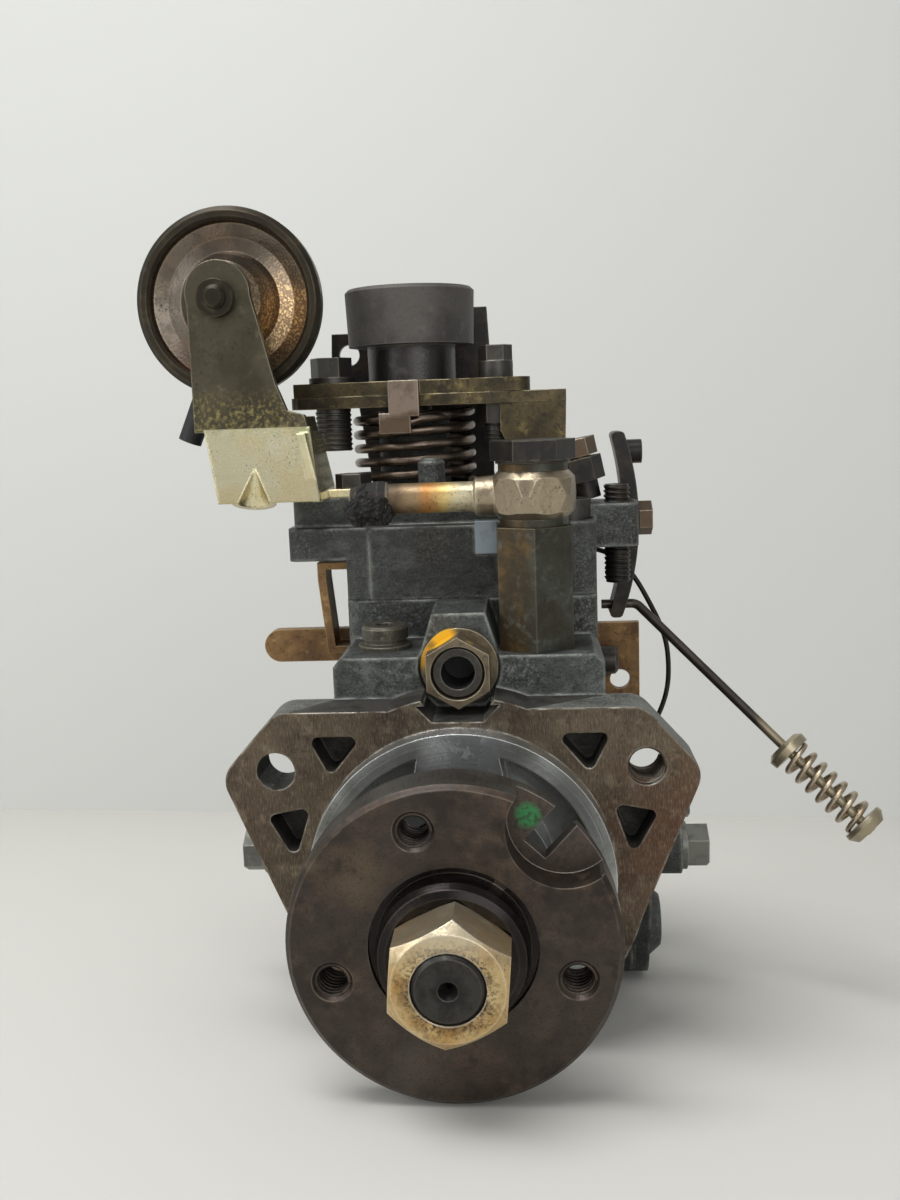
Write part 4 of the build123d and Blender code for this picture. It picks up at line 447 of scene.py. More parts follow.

# ---------------------------------------------------------------- drive hub
# A thick steel disc, oil-brown with worn patches, on the shaft's taper under a yellow-zinc
# nut. Green inspection paint was dabbed in the round relief. The face is darker towards the
# top, and a paler patch low on it is painted reflection of the bench.
browned_steel = finish(
    "browned_steel", shade(70, 62, 56), 0.75, 0.4,
    layers=(
        (("cloud", 34, 0.40, 0.58), shade(48, 42, 39), 0.7, 0.36, 0.9),
        # Darker towards the top of the face.
        (("spot", (4, -37, 23), 13, 10), shade(42, 36, 34), 0.7, 0.34, 0.65),
        (("spot", (-19, -37, 15), 9, 8), shade(108, 92, 72), 0.7, 0.46, 0.5),
        # Painted reflection: a paler patch low on the face, where the bench is reflected.
        (("spot", (-7, -37, -26), 10, 9), shade(96, 90, 82), 0.75, 0.38, 0.5),
        (("cloud", 16, 0.50, 0.68), shade(90, 79, 69), 0.75, 0.44, 0.65),
        (("cloud", 6, 0.56, 0.72), shade(104, 92, 80), 0.7, 0.48, 0.3),
        (("both", ("cloud", 26, 0.46, 0.60), ("cloud", 3, 0.46, 0.66)), shade(98, 78, 62), 0.5, 0.56, 0.45),
        (("cloud", 7, 0.58, 0.70), shade(34, 30, 27), 0.6, 0.4, 0.65),
        (("grain", 0.5, 0.52, 0.70), shade(26, 23, 20), 0.4, 0.6, 0.5),
        (("both", ("edge", 0.5), ("cloud", 8, 0.42, 0.58)), shade(164, 152, 134), 0.9, 0.32, 0.5),
    ),
    bumps=((0.7, 0.03), (5.0, 0.05)), turned=True,
)
glossy_black = finish(
    "glossy_black", shade(34, 30, 29), 0.8, 0.24,
    layers=(
        (("cloud", 10, 0.5, 0.65), shade(58, 50, 44), 0.8, 0.34, 0.7),
        (("edge", 0.5), shade(120, 108, 96), 0.9, 0.3, 0.6),
    ),
    bumps=((0.7, 0.02),), turned=True,
)
green_daub = finish(
    "green_daub", shade(84, 74, 67), 0.75, 0.42,
    layers=(
        (("cloud", 9, 0.45, 0.6), shade(60, 54, 50), 0.7, 0.36, 0.85),
        (("spot", (15.2, -29.1, 24.2), 2.9, 1.4), shade(34, 128, 66), 0.0, 0.5, 0.9),
        (("grain", 1.2, 0.50, 0.62), shade(58, 54, 50), 0.5, 0.5, 0.75),
        (("edge", 0.5), shade(170, 160, 150), 0.9, 0.3, 0.7),
    ),
    bumps=((0.8, 0.05),),
)
# Painted reflection: the rim's side is the same browned steel, painted pale grey where it reflects the room.
rim_painted_reflection = finish(
    "rim_painted_reflection", shade(112, 110, 106), 0.85, 0.32,
    layers=(
        (("cloud", 12, 0.44, 0.60), shade(64, 58, 52), 0.75, 0.4, 0.8),
        (("streak", BACK, 0.6, 0.50, 0.68), shade(48, 42, 38), 0.6, 0.45, 0.5),
    ),
    bumps=((0.7, 0.03),),
)
rim_inside = 32.2
rim_tilt = 0.3
boss_outside = 16.7
relief_depth = (-36.0, -25.6)
relief_sides = (8.0, 34.0)
relief_heights = (12.0, 36.0)
dress("drive_hub", browned_steel)
dress_faces("drive_hub", rim_painted_reflection, lambda c, n: off_shaft(c) > rim_inside and abs(n.y) < rim_tilt)
dress_faces("drive_hub", glossy_black, lambda c, n: off_shaft(c) < boss_outside)
dress_faces("drive_hub", green_daub,
            lambda c, n: within(c.y, relief_depth) and within(c.x, relief_sides)
            and within(c.z, relief_heights) and n.y < -squarely)
nut_bore = ("spot", (0, -52.7, 0), 10.4, 3.4)
yellow_zinc = finish(
    "yellow_zinc", shade(204, 182, 136), 0.88, 0.34,
    layers=(
        (("cloud", 10, 0.42, 0.62), shade(180, 138, 74), 0.82, 0.38, 0.85),
        (("cloud", 3.5, 0.54, 0.68), shade(120, 90, 54), 0.55, 0.46, 0.65),
        (("both", nut_bore, ("cloud", 5, 0.42, 0.56)), shade(84, 60, 34), 0.4, 0.5, 0.75),
        (("both", nut_bore, ("grain", 0.8, 0.50, 0.58)), shade(24, 19, 14), 0.2, 0.6, 0.9),
        (("grain", 0.7, 0.60, 0.70), shade(58, 44, 30), 0.3, 0.6, 0.6),
        # Painted highlight: the upper part of the nut is paler, as if lit from above. The governor lever and
        # the solenoid stand higher, so they get it all over.
        (("band", UP, 4.0, 11.0), shade(206, 200, 184), 0.9, 0.32, 0.5),
        (("edge", 0.6), shade(240, 232, 212), 0.95, 0.28, 0.85),
    ),
    bumps=((1.0, 0.05), (6.0, 0.12)),
)
dress("hub_nut", yellow_zinc)
shaft_steel = finish(
    "shaft_steel", shade(60, 59, 56), 0.8, 0.36,
    layers=(
        (("cloud", 4, 0.46, 0.62), shade(34, 32, 30), 0.7, 0.42, 0.8),
        # Painted shade: a dark spot in and round the centre hole of the shaft's end.
        (("spot", (0, -53.2, 0), 3.2, 1.4), shade(22, 20, 19), 0.5, 0.45, 0.85),
        (("edge", 0.4), shade(112, 106, 98), 0.9, 0.3, 0.6),
    ),
    bumps=((0.6, 0.03),), turned=True,
)
dress("drive_shaft", shaft_steel)

# ---------------------------------------------------------------- mechanism inside
# The feed pump, gears, cams and rollers are hardened steel, ground where they run. The
# flyweights are dark iron, and the shaft runs in a bronze bush behind a rubber seal.
ground_steel = finish(
    "ground_steel", shade(150, 150, 150), 0.95, 0.28,
    layers=((("cloud", 12, 0.48, 0.64), shade(112, 110, 106), 0.9, 0.36, 0.6),),
    bumps=((0.6, 0.01),),
)
for name in ("shaft_key", "governor_drive_gear", "feed_rotor", "feed_vanes", "cam_plate", "plunger",
             "feed_cam_ring", "feed_cover_plate", "governor_carrier", "governor_sleeve", "spill_sleeve",
             "roller_ring", "roller_1", "roller_2", "roller_3", "roller_4", "capsule_rod"):
    dress(name, ground_steel)
weight_iron = finish(
    "weight_iron", shade(70, 68, 66), 0.7, 0.45,
    layers=((("cloud", 6, 0.48, 0.64), shade(48, 46, 44), 0.6, 0.5, 0.7),),
    bumps=((0.9, 0.05),),
)
for name in ("flyweight_1", "flyweight_2", "flyweight_3", "flyweight_4"):
    dress(name, weight_iron)
bush_bronze = finish(
    "bush_bronze", shade(170, 128, 78), 0.9, 0.35,
    layers=((("cloud", 8, 0.48, 0.62), shade(118, 84, 50), 0.8, 0.42, 0.7),),
)
dress("shaft_bush", bush_bronze)
# Black rubber of the shaft seal and the nipple hose. The same finish lines the governor shaft's bore as
# painted shade.
seal_rubber = finish(
    "seal_rubber", shade(30, 30, 31), 0.0, 0.6,
    layers=((("cloud", 6, 0.48, 0.62), shade(52, 50, 48), 0.0, 0.7, 0.5),), bumps=((0.8, 0.05),),
)
dress("shaft_seal", seal_rubber)

# ---------------------------------------------------------------- governor shaft end
# The governor shaft screws through the front wall; its brass-coloured lock nut carries
# daubs of yellow marking paint.
painted_nut = finish(
    "painted_nut", shade(122, 110, 90), 0.8, 0.38,
    layers=(
        (("cloud", 6, 0.44, 0.62), shade(76, 66, 52), 0.65, 0.44, 0.8),
        (("grain", 0.9, 0.58, 0.68), shade(40, 34, 28), 0.3, 0.6, 0.6),
        (("edge", 0.5), shade(196, 186, 164), 0.95, 0.3, 0.8),
        (("spot", (-3.6, 10.8, 52.0), 4.2, 1.8), shade(226, 174, 26), 0.0, 0.5, 1.0),
        (("spot", (-7.6, 12.0, 47.2), 3.6, 1.8), shade(214, 160, 24), 0.0, 0.5, 0.9),
        (("spot", (2.4, 7.0, 51.0), 1.6, 1.4), shade(224, 172, 24), 0.0, 0.5, 0.85),
    ),
    bumps=((1.0, 0.05),),
)
dress("governor_shaft_nut", painted_nut)

# ---------------------------------------------------------------- screws and pivots
# Steel screws hold the covers, the head and the brackets, and steel pivots carry the levers.
# Oil has darkened them, but the bolts of the timing covers have stayed grey.
dark_bolt = finish(
    "dark_bolt", shade(74, 72, 68), 0.8, 0.4,
    layers=(
        (("cloud", 5, 0.46, 0.62), shade(48, 45, 41), 0.65, 0.46, 0.8),
        (("cloud", 2.5, 0.60, 0.72), shade(112, 96, 74), 0.6, 0.5, 0.5),
        (("edge", 0.5), shade(146, 140, 128), 0.9, 0.34, 0.7),
    ),
    bumps=((0.8, 0.05),),
)
for name in ("governor_shaft", "housing_screws", "pivot_screws", "throttle_shaft"):
    dress(name, dark_bolt)
# Painted shade: the inside of the governor shaft's bore gets the black rubber finish, so the hole looks
# deep.
governor_axis_z = 45.0
bore_radius = 3.9
dress_faces("governor_shaft", seal_rubber,
            lambda c, n: math.hypot(c.x, c.z - governor_axis_z) < bore_radius and c.y > 0)
dress("governor_lever", yellow_zinc)
grey_bolt = finish(
    "grey_bolt", shade(118, 118, 112), 0.75, 0.44,
    layers=(
        (("cloud", 5, 0.46, 0.62), shade(84, 83, 78), 0.6, 0.5, 0.75),
        (("edge", 0.5), shade(168, 168, 160), 0.9, 0.34, 0.7),
    ),
    bumps=((0.8, 0.05),),
)
side_screws_x = 44.0
dress_faces("housing_screws", grey_bolt, lambda c, n: abs(c.x) > side_screws_x)

# ---------------------------------------------------------------- inlet fitting
# A hexagonal pillar in the deck carries the banjo union. Fire has left its steel brown on
# the left and blue-grey on the right, tempered the pipe and burnt the hose off it.
pillar_left = ("band", ACROSS, 17.6, 14.5)
pillar_steel = finish(
    "pillar_steel", shade(72, 74, 67), 0.8, 0.4,
    layers=(
        (pillar_left, shade(78, 60, 34), 0.65, 0.4, 0.85),
        (("cloud", 9, 0.44, 0.60), shade(50, 45, 34), 0.6, 0.44, 0.8),
        (("both", ("cloud", 5, 0.50, 0.68), pillar_left), shade(124, 96, 54), 0.7, 0.4, 0.5),
        (("both", ("cloud", 1.6, 0.50, 0.68), ("cloud", 8, 0.46, 0.6)), shade(112, 116, 108), 0.6, 0.5, 0.5),
        (("grain", 0.8, 0.60, 0.72), shade(30, 26, 20), 0.3, 0.6, 0.6),
        (("edge", 0.6), shade(128, 120, 100), 0.9, 0.36, 0.55),
    ),
    bumps=((0.9, 0.05),),
)
banjo_zinc = finish(
    "banjo_zinc", shade(156, 143, 122), 0.9, 0.3,
    layers=(
        (("band", ACROSS, 6.0, 4.0), shade(198, 190, 160), 0.6, 0.36, 0.9),
        (("band", ACROSS, 0.5, -3.0), shade(208, 180, 108), 0.55, 0.38, 0.85),
        (("band", ACROSS, -3.0, -6.0), shade(168, 104, 44), 0.5, 0.4, 0.8),
        (("band", ACROSS, -6.5, -9.5), shade(138, 122, 96), 0.6, 0.36, 0.85),
        (("band", ACROSS, -11.5, -14.0), shade(62, 50, 38), 0.5, 0.5, 0.8),
        (("band", ACROSS, -15.6, -16.6), shade(22, 21, 20), 0.0, 0.8, 1.0),
        (("cloud", 5, 0.50, 0.66), shade(120, 100, 76), 0.75, 0.42, 0.5),
        (("cloud", 2.4, 0.58, 0.70), shade(84, 64, 44), 0.6, 0.46, 0.5),
        (("grain", 0.7, 0.60, 0.70), shade(60, 46, 32), 0.4, 0.5, 0.6),
        (("edge", 0.5), shade(226, 214, 190), 0.95, 0.3, 0.6),
    ),
    bumps=((1.4, 0.08),),
)
black_oxide = finish(
    "black_oxide", shade(40, 39, 38), 0.7, 0.38,
    layers=(
        (("cloud", 6, 0.46, 0.62), shade(66, 58, 48), 0.65, 0.44, 0.7),
        (("edge", 0.5), shade(120, 112, 100), 0.9, 0.34, 0.7),
    ),
    bumps=((0.8, 0.04),),
)
soft_copper = finish(
    "soft_copper", shade(176, 112, 78), 0.9, 0.36,
    layers=((("cloud", 4, 0.46, 0.62), shade(112, 70, 48), 0.7, 0.45, 0.7),),
)
dusty_plug = finish(
    "dusty_plug", shade(78, 75, 66), 0.6, 0.48,
    layers=(
        (("cloud", 4, 0.46, 0.62), shade(48, 44, 37), 0.4, 0.5, 0.8),
        (("grain", 0.6, 0.54, 0.68), shade(118, 110, 92), 0.5, 0.55, 0.6),
        (("edge", 0.6), shade(150, 144, 130), 0.8, 0.4, 0.7),
    ),
    bumps=((0.7, 0.05),),
)
dress("inlet_pillar", pillar_steel)
dress("inlet_banjo", banjo_zinc)
dress("pressure_valve", dusty_plug)
for name in ("banjo_bolt", "speed_screws", "side_lever"):
    dress(name, black_oxide)
dress("sealing_washers", soft_copper)
shaft_washer_top = 60.0
union_washers_foot = 70.0
dress_faces("sealing_washers", painted_nut, lambda c, n: c.z < shaft_washer_top)
dress_faces("sealing_washers", pillar_steel, lambda c, n: c.z > union_washers_foot)

# ---------------------------------------------------------------- control lever
# Two zinc-plated plates are clamped on the throttle shaft under a thick sintered cap; a
# coil spring turns them back to the stop.
olive_zinc = finish(
    "olive_zinc", shade(86, 76, 54), 0.78, 0.36,
    layers=(
        (("cloud", 9, 0.42, 0.60), shade(44, 39, 29), 0.6, 0.4, 0.9),
        (("cloud", 4, 0.56, 0.70), shade(142, 126, 86), 0.88, 0.3, 0.6),
        (("grain", 0.8, 0.56, 0.68), shade(28, 24, 18), 0.3, 0.5, 0.75),
        (("both", ("edge", 0.5), ("cloud", 6, 0.42, 0.58)), shade(182, 170, 136), 0.95, 0.3, 0.8),
    ),
    bumps=((0.9, 0.05),),
)
strap_metal = finish(
    "strap_metal", shade(134, 120, 108), 0.88, 0.32,
    layers=(
        (("cloud", 4, 0.46, 0.62), shade(96, 80, 68), 0.75, 0.4, 0.7),
        (("band", UP, 102.6, 101.2), shade(84, 68, 50), 0.6, 0.44, 0.85),
        (("edge", 0.5), shade(208, 194, 174), 0.95, 0.3, 0.7),
    ),
    bumps=((0.9, 0.05),),
)
cap_grey = finish(
    "cap_grey", shade(84, 81, 77), 0.4, 0.56,
    layers=(
        (("cloud", 14, 0.44, 0.62), shade(62, 59, 57), 0.35, 0.6, 0.85),
        (("band", UP, 119.6, 118.6), shade(64, 62, 61), 0.85, 0.3, 0.9),
        (("cloud", 4, 0.56, 0.70), shade(112, 108, 102), 0.4, 0.6, 0.4),
        (("grain", 0.5, 0.58, 0.70), shade(44, 40, 37), 0.3, 0.7, 0.55),
        (("edge", 0.6), shade(136, 130, 122), 0.5, 0.55, 0.7),
    ),
    bumps=((0.6, 0.05),),
)
spring_wire = finish(
    "spring_wire", shade(122, 108, 96), 0.92, 0.28,
    layers=((("cloud", 6, 0.46, 0.62), shade(72, 60, 52), 0.85, 0.34, 0.8),),
)
for name in ("lever_plate", "lever_top_plate"):
    dress(name, olive_zinc)
dress("lever_clamp_bolts", dark_bolt)
strap_front = 51.4
strap_sides = (-21.0, -10.0)
cap_nut_right = 35.0
cap_nut_back = 70.0
cap_nut_foot = 89.2
pivot_head_x = 46.1
dress_faces("lever_top_plate", strap_metal, lambda c, n: c.y < strap_front and within(c.x, strap_sides))
dress_faces("speed_screws", strap_metal,
            lambda c, n: c.x < cap_nut_right and c.y < cap_nut_back and c.z > cap_nut_foot)
dress_faces("pivot_screws", strap_metal, lambda c, n: c.x > pivot_head_x)
dress("lever_cap", cap_grey)
dress("return_spring", spring_wire)
dress("plunger_spring_set", spring_wire)

# ---------------------------------------------------------------- side linkage
# A black curved lever at the side works a thin steel rod. The rod carries a loose spring of
# bright wire between two pressed cups.
rod_steel = finish(
    "rod_steel", shade(84, 78, 72), 0.85, 0.38,
    layers=(
        (("cloud", 8, 0.46, 0.62), shade(58, 52, 46), 0.7, 0.44, 0.7),
        (("band", ACROSS, 74, 78), shade(176, 164, 138), 0.9, 0.32, 0.85),
    ),
    bumps=((0.8, 0.04),),
)
pale_spring = finish(
    "pale_spring", shade(186, 172, 150), 0.92, 0.28,
    layers=((("cloud", 5, 0.46, 0.62), shade(134, 112, 88), 0.85, 0.34, 0.7),),
)
dress("link_rod", rod_steel)
dress("link_spring", pale_spring)
dress("side_wire", black_oxide)

# ---------------------------------------------------------------- vacuum capsule
# Two pressed shells are rolled together at a dark bronze rim, and the dish has gone coppery
# with golden specks. The bent bracket that carries the capsule is zinc-plated, darker above
# the fold. Below the fold the leaf faces up, and its brighter zinc there is painted light.
capsule_shell = finish(
    "capsule_shell", shade(62, 56, 46), 0.8, 0.36,
    layers=(
        (("cloud", 12, 0.44, 0.62), shade(42, 38, 30), 0.75, 0.4, 0.8),
        (("cloud", 4, 0.58, 0.70), shade(96, 86, 66), 0.85, 0.34, 0.45),
        (("grain", 0.7, 0.58, 0.70), shade(24, 21, 17), 0.3, 0.6, 0.5),
        (("both", ("edge", 0.6), ("cloud", 8, 0.42, 0.58)), shade(132, 120, 96), 0.9, 0.3, 0.6),
    ),
    bumps=((1.2, 0.05),),
)
sunny_side = ("spot", (-42, 45, 126), 16, 11)
capsule_dish = finish(
    "capsule_dish", shade(108, 100, 90), 0.92, 0.26,
    layers=(
        (("cloud", 26, 0.44, 0.62), shade(122, 98, 80), 0.88, 0.28, 0.75),
        (("cloud", 10, 0.48, 0.62), shade(78, 72, 64), 0.85, 0.34, 0.8),
        (sunny_side, shade(166, 136, 104), 0.9, 0.3, 0.5),
        (("both", ("grain", 0.6, 0.50, 0.62), sunny_side), shade(240, 208, 152), 0.92, 0.3, 0.9),
        (("both", ("grain", 0.5, 0.54, 0.66), ("cloud", 9, 0.46, 0.60)), shade(58, 46, 34), 0.5, 0.5, 0.75),
        (("spot", (-64, 45, 118), 7, 6), shade(180, 112, 84), 0.9, 0.34, 0.5),
        (("edge", 0.8), shade(206, 180, 150), 0.95, 0.3, 0.5),
    ),
    bumps=((0.6, 0.05),),
)
dress("vacuum_capsule", capsule_shell)
capsule_x = -56.5
capsule_z = 131.0
dish_depth = (38.3, 50.0)
dish_radius = 19.9
dress_faces("vacuum_capsule", capsule_dish, lambda c, n: within(c.y, dish_depth)
            and math.hypot(c.x - capsule_x, c.z - capsule_z) < dish_radius)
bracket_zinc = finish(
    "bracket_zinc", shade(88, 83, 68), 0.85, 0.34,
    layers=(
        (("cloud", 11, 0.42, 0.60), shade(62, 57, 44), 0.75, 0.4, 0.8),
        (("cloud", 4, 0.58, 0.72), shade(140, 136, 112), 0.88, 0.32, 0.4),
        (("both", ("band", UP, 110, 104), ("cloud", 1.2, 0.48, 0.64)),
         shade(178, 164, 104), 0.85, 0.34, 0.6),
        (("both", ("grain", 0.7, 0.56, 0.64), ("cloud", 9, 0.44, 0.60)), shade(36, 32, 20), 0.3, 0.6, 0.85),
        (("edge", 0.5), shade(190, 186, 166), 0.95, 0.32, 0.5),
    ),
    bumps=((1.0, 0.04), (7.0, 0.25)),
)
# Painted light: a brighter copy of the bracket's zinc for the leaf below the fold, which faces up to the
# lamps.
leaf_zinc_painted_light = finish(
    "leaf_zinc_painted_light", shade(216, 209, 174), 0.93, 0.24,
    layers=(
        (("cloud", 9, 0.44, 0.62), shade(198, 180, 134), 0.9, 0.28, 0.6),
        (("both", ("band", UP, 95, 99), ("cloud", 6, 0.44, 0.62)),
         shade(148, 158, 116), 0.9, 0.3, 0.7),
        (("cloud", 8, 0.54, 0.72), shade(228, 224, 200), 0.95, 0.24, 0.5),
        (("both", ("grain", 0.45, 0.60, 0.66), ("cloud", 10, 0.44, 0.58)), shade(36, 32, 20), 0.3, 0.6, 0.8),
    ),
    bumps=((0.8, 0.01),), rounding=0.8,
)
dress("capsule_bracket", bracket_zinc)
fold_z = 99.5
dress_faces("capsule_bracket", leaf_zinc_painted_light, lambda c, n: c.z < fold_z)

# ---------------------------------------------------------------- brackets at the sides
# The flat stays at the left and right are bolted to the body, and their plating has rusted
# to a warm brown. The cable bracket behind the cap is black-oxided plate.
rusty_zinc = finish(
    "rusty_zinc", shade(136, 106, 70), 0.65, 0.42,
    layers=(
        (("cloud", 9, 0.44, 0.62), shade(90, 64, 42), 0.4, 0.52, 0.85),
        (("cloud", 3, 0.56, 0.70), shade(186, 152, 100), 0.8, 0.36, 0.6),
        (("grain", 0.8, 0.58, 0.70), shade(56, 38, 25), 0.2, 0.65, 0.65),
        (("edge", 0.5), shade(200, 172, 126), 0.9, 0.34, 0.6),
    ),
    bumps=((0.9, 0.06),),
)
dress("left_stay", rusty_zinc)
dress("right_stay", rusty_zinc)
dress("cable_bracket", black_oxide)

# ---------------------------------------------------------------- delivery head
# The head at the back is black-phosphated iron with four delivery holders, and the
# zinc-plated shut-off solenoid stands on top of it.
dress("distributor_head", black_oxide)
dress("delivery_holders", dark_bolt)
dress("fuel_cut_solenoid", yellow_zinc)

# ---------------------------------------------------------------- screw threads
# Rolled and tapped threads on the screws that stand free and in the open holes of the hub
# and the flange. Each is a helical ridge laid on the plain shank or bore.
segments_per_turn = 22
ridge_corners = 4
ridge_share = 0.42
thread_tree = bpy.data.node_groups.new("screw_thread", "GeometryNodeTree")
for label in ("Length", "Radius", "Pitch", "Ridge"):
    thread_tree.interface.new_socket(label, in_out="INPUT", socket_type="NodeSocketFloat")
thread_tree.interface.new_socket("Steel", in_out="INPUT", socket_type="NodeSocketMaterial")
thread_tree.interface.new_socket("Geometry", in_out="OUTPUT", socket_type="NodeSocketGeometry")
parts, wires = thread_tree.nodes, thread_tree.links
given = parts.new("NodeGroupInput")
helix = parts.new("GeometryNodeCurveSpiral")
helix.inputs["Resolution"].default_value = segments_per_turn
rounds = parts.new("ShaderNodeMath")
rounds.operation = "DIVIDE"
crest = parts.new("GeometryNodeCurvePrimitiveCircle")
crest.inputs["Resolution"].default_value = ridge_corners
ridge = parts.new("GeometryNodeCurveToMesh")
ridge.inputs["Fill Caps"].default_value = True
solid = parts.new("GeometryNodeRealizeInstances")
steel = parts.new("GeometryNodeSetMaterial")
made = parts.new("NodeGroupOutput")
wires.new(given.outputs["Length"], rounds.inputs[0])
wires.new(given.outputs["Pitch"], rounds.inputs[1])
wires.new(rounds.outputs[0], helix.inputs["Rotations"])
wires.new(given.outputs["Radius"], helix.inputs["Start Radius"])
wires.new(given.outputs["Radius"], helix.inputs["End Radius"])
wires.new(given.outputs["Length"], helix.inputs["Height"])
wires.new(given.outputs["Ridge"], crest.inputs["Radius"])
wires.new(helix.outputs["Curve"], ridge.inputs["Curve"])
wires.new(crest.outputs["Curve"], ridge.inputs["Profile Curve"])
wires.new(ridge.outputs["Mesh"], solid.inputs["Geometry"])
wires.new(solid.outputs["Geometry"], steel.inputs["Geometry"])
wires.new(given.outputs["Steel"], steel.inputs["Material"])
wires.new(steel.outputs["Geometry"], made.inputs["Geometry"])
socket = {item.name: item.identifier for item in thread_tree.interface.items_tree if item.in_out == "INPUT"}


def cut_threads(name, body, material, runs):
    """One piece of thread ridges. Each run is (start_mm, direction, length_mm, radius_mm, pitch_mm)."""
    shape = bmesh.new()
    for start, way, length, radius, pitch in runs:
        blank = bpy.data.objects.new("blank", bpy.data.meshes.new("blank"))
        bpy.context.scene.collection.objects.link(blank)
        cutter = blank.modifiers.new("thread", "NODES")
        cutter.node_group = thread_tree
        cutter[socket["Length"]] = length * MM
        cutter[socket["Radius"]] = radius * MM
        cutter[socket["Pitch"]] = pitch * MM
        cutter[socket["Ridge"]] = pitch * ridge_share * MM
        cutter[socket["Steel"]] = material
        seen = bpy.context.evaluated_depsgraph_get()
        turn = bpy.data.meshes.new_from_object(blank.evaluated_get(seen))
        aim = Vector((0, 0, 1)).rotation_difference(Vector(way)).to_matrix().to_4x4()
        turn.transform(Matrix.Translation(Vector(start) * MM) @ aim)
        shape.from_mesh(turn)
        bpy.data.objects.remove(blank)
    bmesh.ops.recalc_face_normals(shape, faces=shape.faces)
    mesh = bpy.data.meshes.new(name)
    shape.to_mesh(mesh)
    shape.free()
    mesh.materials.clear()
    mesh.materials.append(material)
    item = bpy.data.objects.new(name, mesh)
    bpy.context.scene.collection.objects.link(item)
    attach(item, body)


long_clamp_bolt = ((-33.7, 60.0, 93.6), UP, 10.0, 4.3, 1.25)
short_clamp_bolt = ((9.0, 61.3, 94.9), UP, 4.0, 2.95, 1.0)
cut_threads("clamp_bolt_threads", "control_lever", dark_bolt, (long_clamp_bolt, short_clamp_bolt))

hub_hole_circle = 24.85
hub_hole_angles = (106.0, 195.6, -15.0)
hub_face_y = -36.2
hub_holes = []
for angle in hub_hole_angles:
    turn_to = math.radians(angle)
    mouth = (hub_hole_circle * math.cos(turn_to), hub_face_y, hub_hole_circle * math.sin(turn_to))
    hub_holes.append((mouth, BACK, 10.6, 3.45, 1.25))
cut_threads("hub_hole_threads", "drive_train", browned_steel, hub_holes)

lug_stop_screw = ((39.4, 57.0, 57.5), UP, 24.4, 2.95, 1.25)
full_load_screw = ((21.0, 116.6, 66.0), BACK, 10.8, 2.95, 1.0)
cut_threads("stop_screw_threads", "housing", black_oxide, (lug_stop_screw, full_load_screw))

holder_places = (-13.79, 13.79)
holder_thread_y = 141.4
cut_threads("delivery_threads", "housing", dark_bolt, [
    ((x, holder_thread_y, z), BACK, 15.0, 5.95, 1.5) for x in holder_places for z in holder_places
])

solenoid_stud = ((0.0, 118.0, 64.6), UP, 5.0, 1.95, 0.7)
cut_threads("solenoid_stud_thread", "housing", yellow_zinc, (solenoid_stud,))

right_flange_hole = ((41.0, 0.6, 24.7), BACK, 11.2, 4.3, 1.25)
cut_threads("flange_hole_thread", "housing", flange_metal, (right_flange_hole,))

# ---------------------------------------------------------------- return spring end
# The coil's upper end is a plain bend of the same wire. It runs behind the strap of the
# lever, whose hook catches it and so winds the spring.


def wire(name, body, points, radius, material):
    """Round wire through the points, in millimetres, as a closed mesh."""
    curve = bpy.data.curves.new(name, "CURVE")
    curve.dimensions = "3D"
    curve.bevel_depth = radius * MM
    curve.bevel_resolution = 4
    curve.use_fill_caps = True
    line = curve.splines.new("BEZIER")
    line.bezier_points.add(len(points) - 1)
    for knot, point in zip(line.bezier_points, points):
        knot.co = Vector(point) * MM
        knot.handle_left_type = knot.handle_right_type = "AUTO"
    blank = bpy.data.objects.new(name, curve)
    bpy.context.scene.collection.objects.link(blank)
    seen = bpy.context.evaluated_depsgraph_get()
    mesh = bpy.data.meshes.new_from_object(blank.evaluated_get(seen))
    bpy.data.objects.remove(blank)
    mesh.materials.clear()
    mesh.materials.append(material)
    for face in mesh.polygons:
        face.use_smooth = True
    item = bpy.data.objects.new(name, mesh)
    bpy.context.scene.collection.objects.link(item)
    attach(item, body)
    return item


spring_wire_radius = 1.15
wire("spring_upper_hook", "control_lever", (
    (-3.6, 58.6, 101.2), (-8.0, 54.6, 101.0), (-12.4, 52.9, 100.2), (-16.6, 52.8, 98.6), (-20.0, 54.2, 97.2),
), spring_wire_radius, spring_wire)

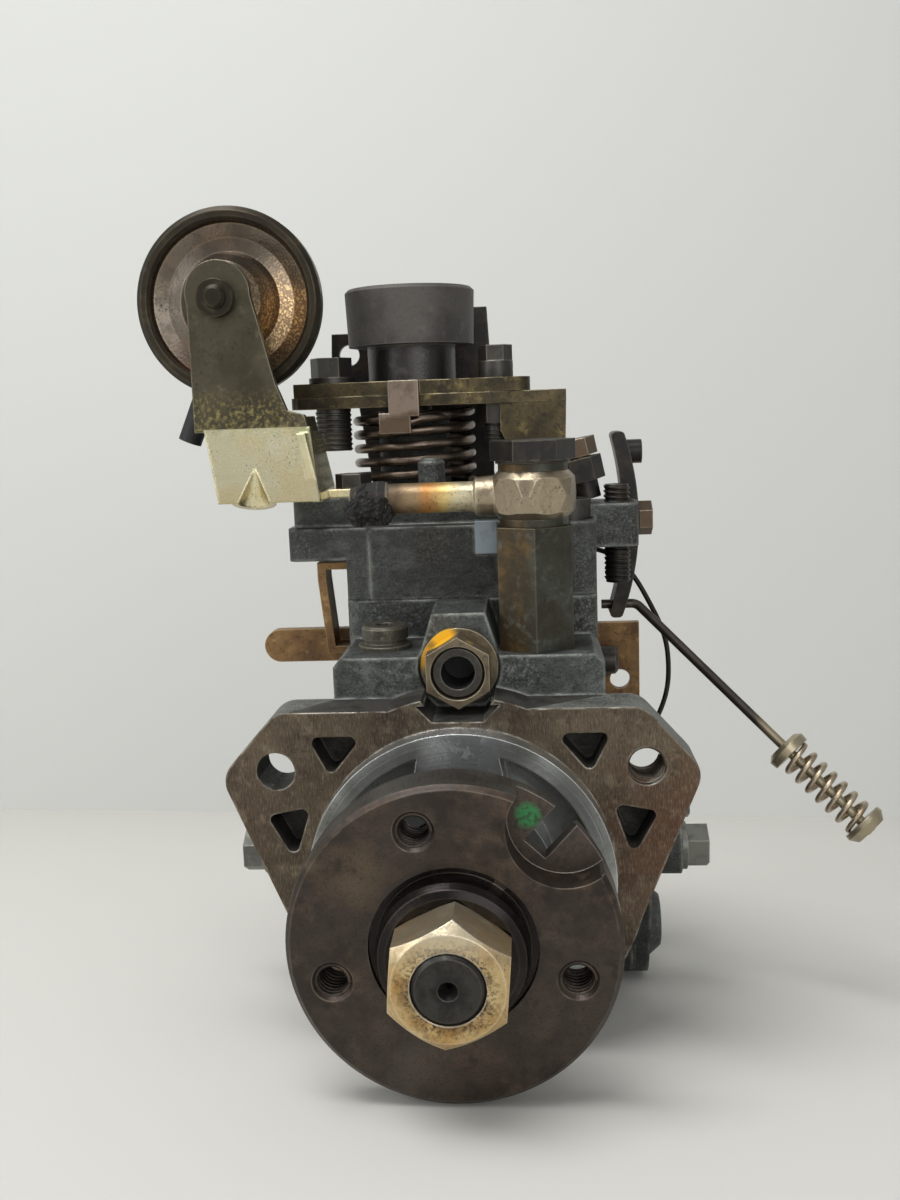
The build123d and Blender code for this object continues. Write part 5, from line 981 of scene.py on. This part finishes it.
# ---------------------------------------------------------------- side wire
# Thin springy wire at the right of the body. It springs out from under the lug in one even
# bow and ends beside the body, low down.
bow_y = 80.0
bow_radius = 0.7
bow_route = ((33.5, 63.4), (40.0, 60.6), (50.0, 47.0), (55.0, 31.0), (51.6, 13.5), (39.5, -1.0))
side_bow = wire("side_bow", "housing", [(x, bow_y, z) for x, z in bow_route], bow_radius, black_oxide)
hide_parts("side_wire")

# ---------------------------------------------------------------- nipple rubber
# A short end of the vacuum hose is still pushed over the capsule's nipple. It is plain black
# rubber, cut off straight just past the nipple's end.
nipple_lean = math.radians(23.3351)
nipple_way = Vector((-math.sin(nipple_lean), 0.0, -math.cos(nipple_lean)))
nipple_foot = Vector((capsule_x, 56.0, capsule_z))
rubber_reach = (25.5, 31.0, 37.2)
rubber_radius = 3.1
wire("nipple_rubber", "housing", [nipple_foot + nipple_way * reach for reach in rubber_reach],
     rubber_radius, seal_rubber)

# ---------------------------------------------------------------- burnt hose
# The rubber return hose has burnt off the inlet pipe. A crumbling black crust of it is
# still stuck on the pipe's end.
char = finish(
    "char", shade(20, 19, 19), 0.0, 0.85,
    layers=(
        (("grain", 0.6, 0.56, 0.66), shade(62, 58, 54), 0.0, 0.9, 0.7),
        (("cloud", 2, 0.56, 0.68), shade(8, 8, 8), 0.0, 0.7, 0.6),
    ),
    bumps=((0.5, 0.4), (1.6, 0.5)), rounding=0.1,
)
crust_lumps = (
    ((-19.6, 22.0, 82.0), (4.8, 4.6, 4.5)), ((-22.6, 21.0, 80.6), (3.2, 3.0, 3.4)),
    ((-17.2, 21.6, 80.4), (2.8, 4.2, 3.4)), ((-22.4, 23.4, 83.6), (2.6, 2.4, 2.2)),
)
coarse_ragging = (1.7, 0.28)
fine_ragging = (5.0, 0.16)
crust = bmesh.new()
for place, size in crust_lumps:
    lump = bmesh.ops.create_icosphere(crust, subdivisions=5, radius=1.0)
    for vertex in lump["verts"]:
        out = vertex.co.copy()
        ragged = 1 + sum(height * noise.noise(out * step + Vector(place))
                         for step, height in (coarse_ragging, fine_ragging))
        vertex.co = Vector([(place[i] + out[i] * size[i] * ragged) * MM for i in range(3)])
burnt = bpy.data.meshes.new("burnt_hose")
crust.to_mesh(burnt)
crust.free()
burnt.materials.append(char)
burnt_hose = bpy.data.objects.new("burnt_hose", burnt)
bpy.context.scene.collection.objects.link(burnt_hose)
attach(burnt_hose, "housing")
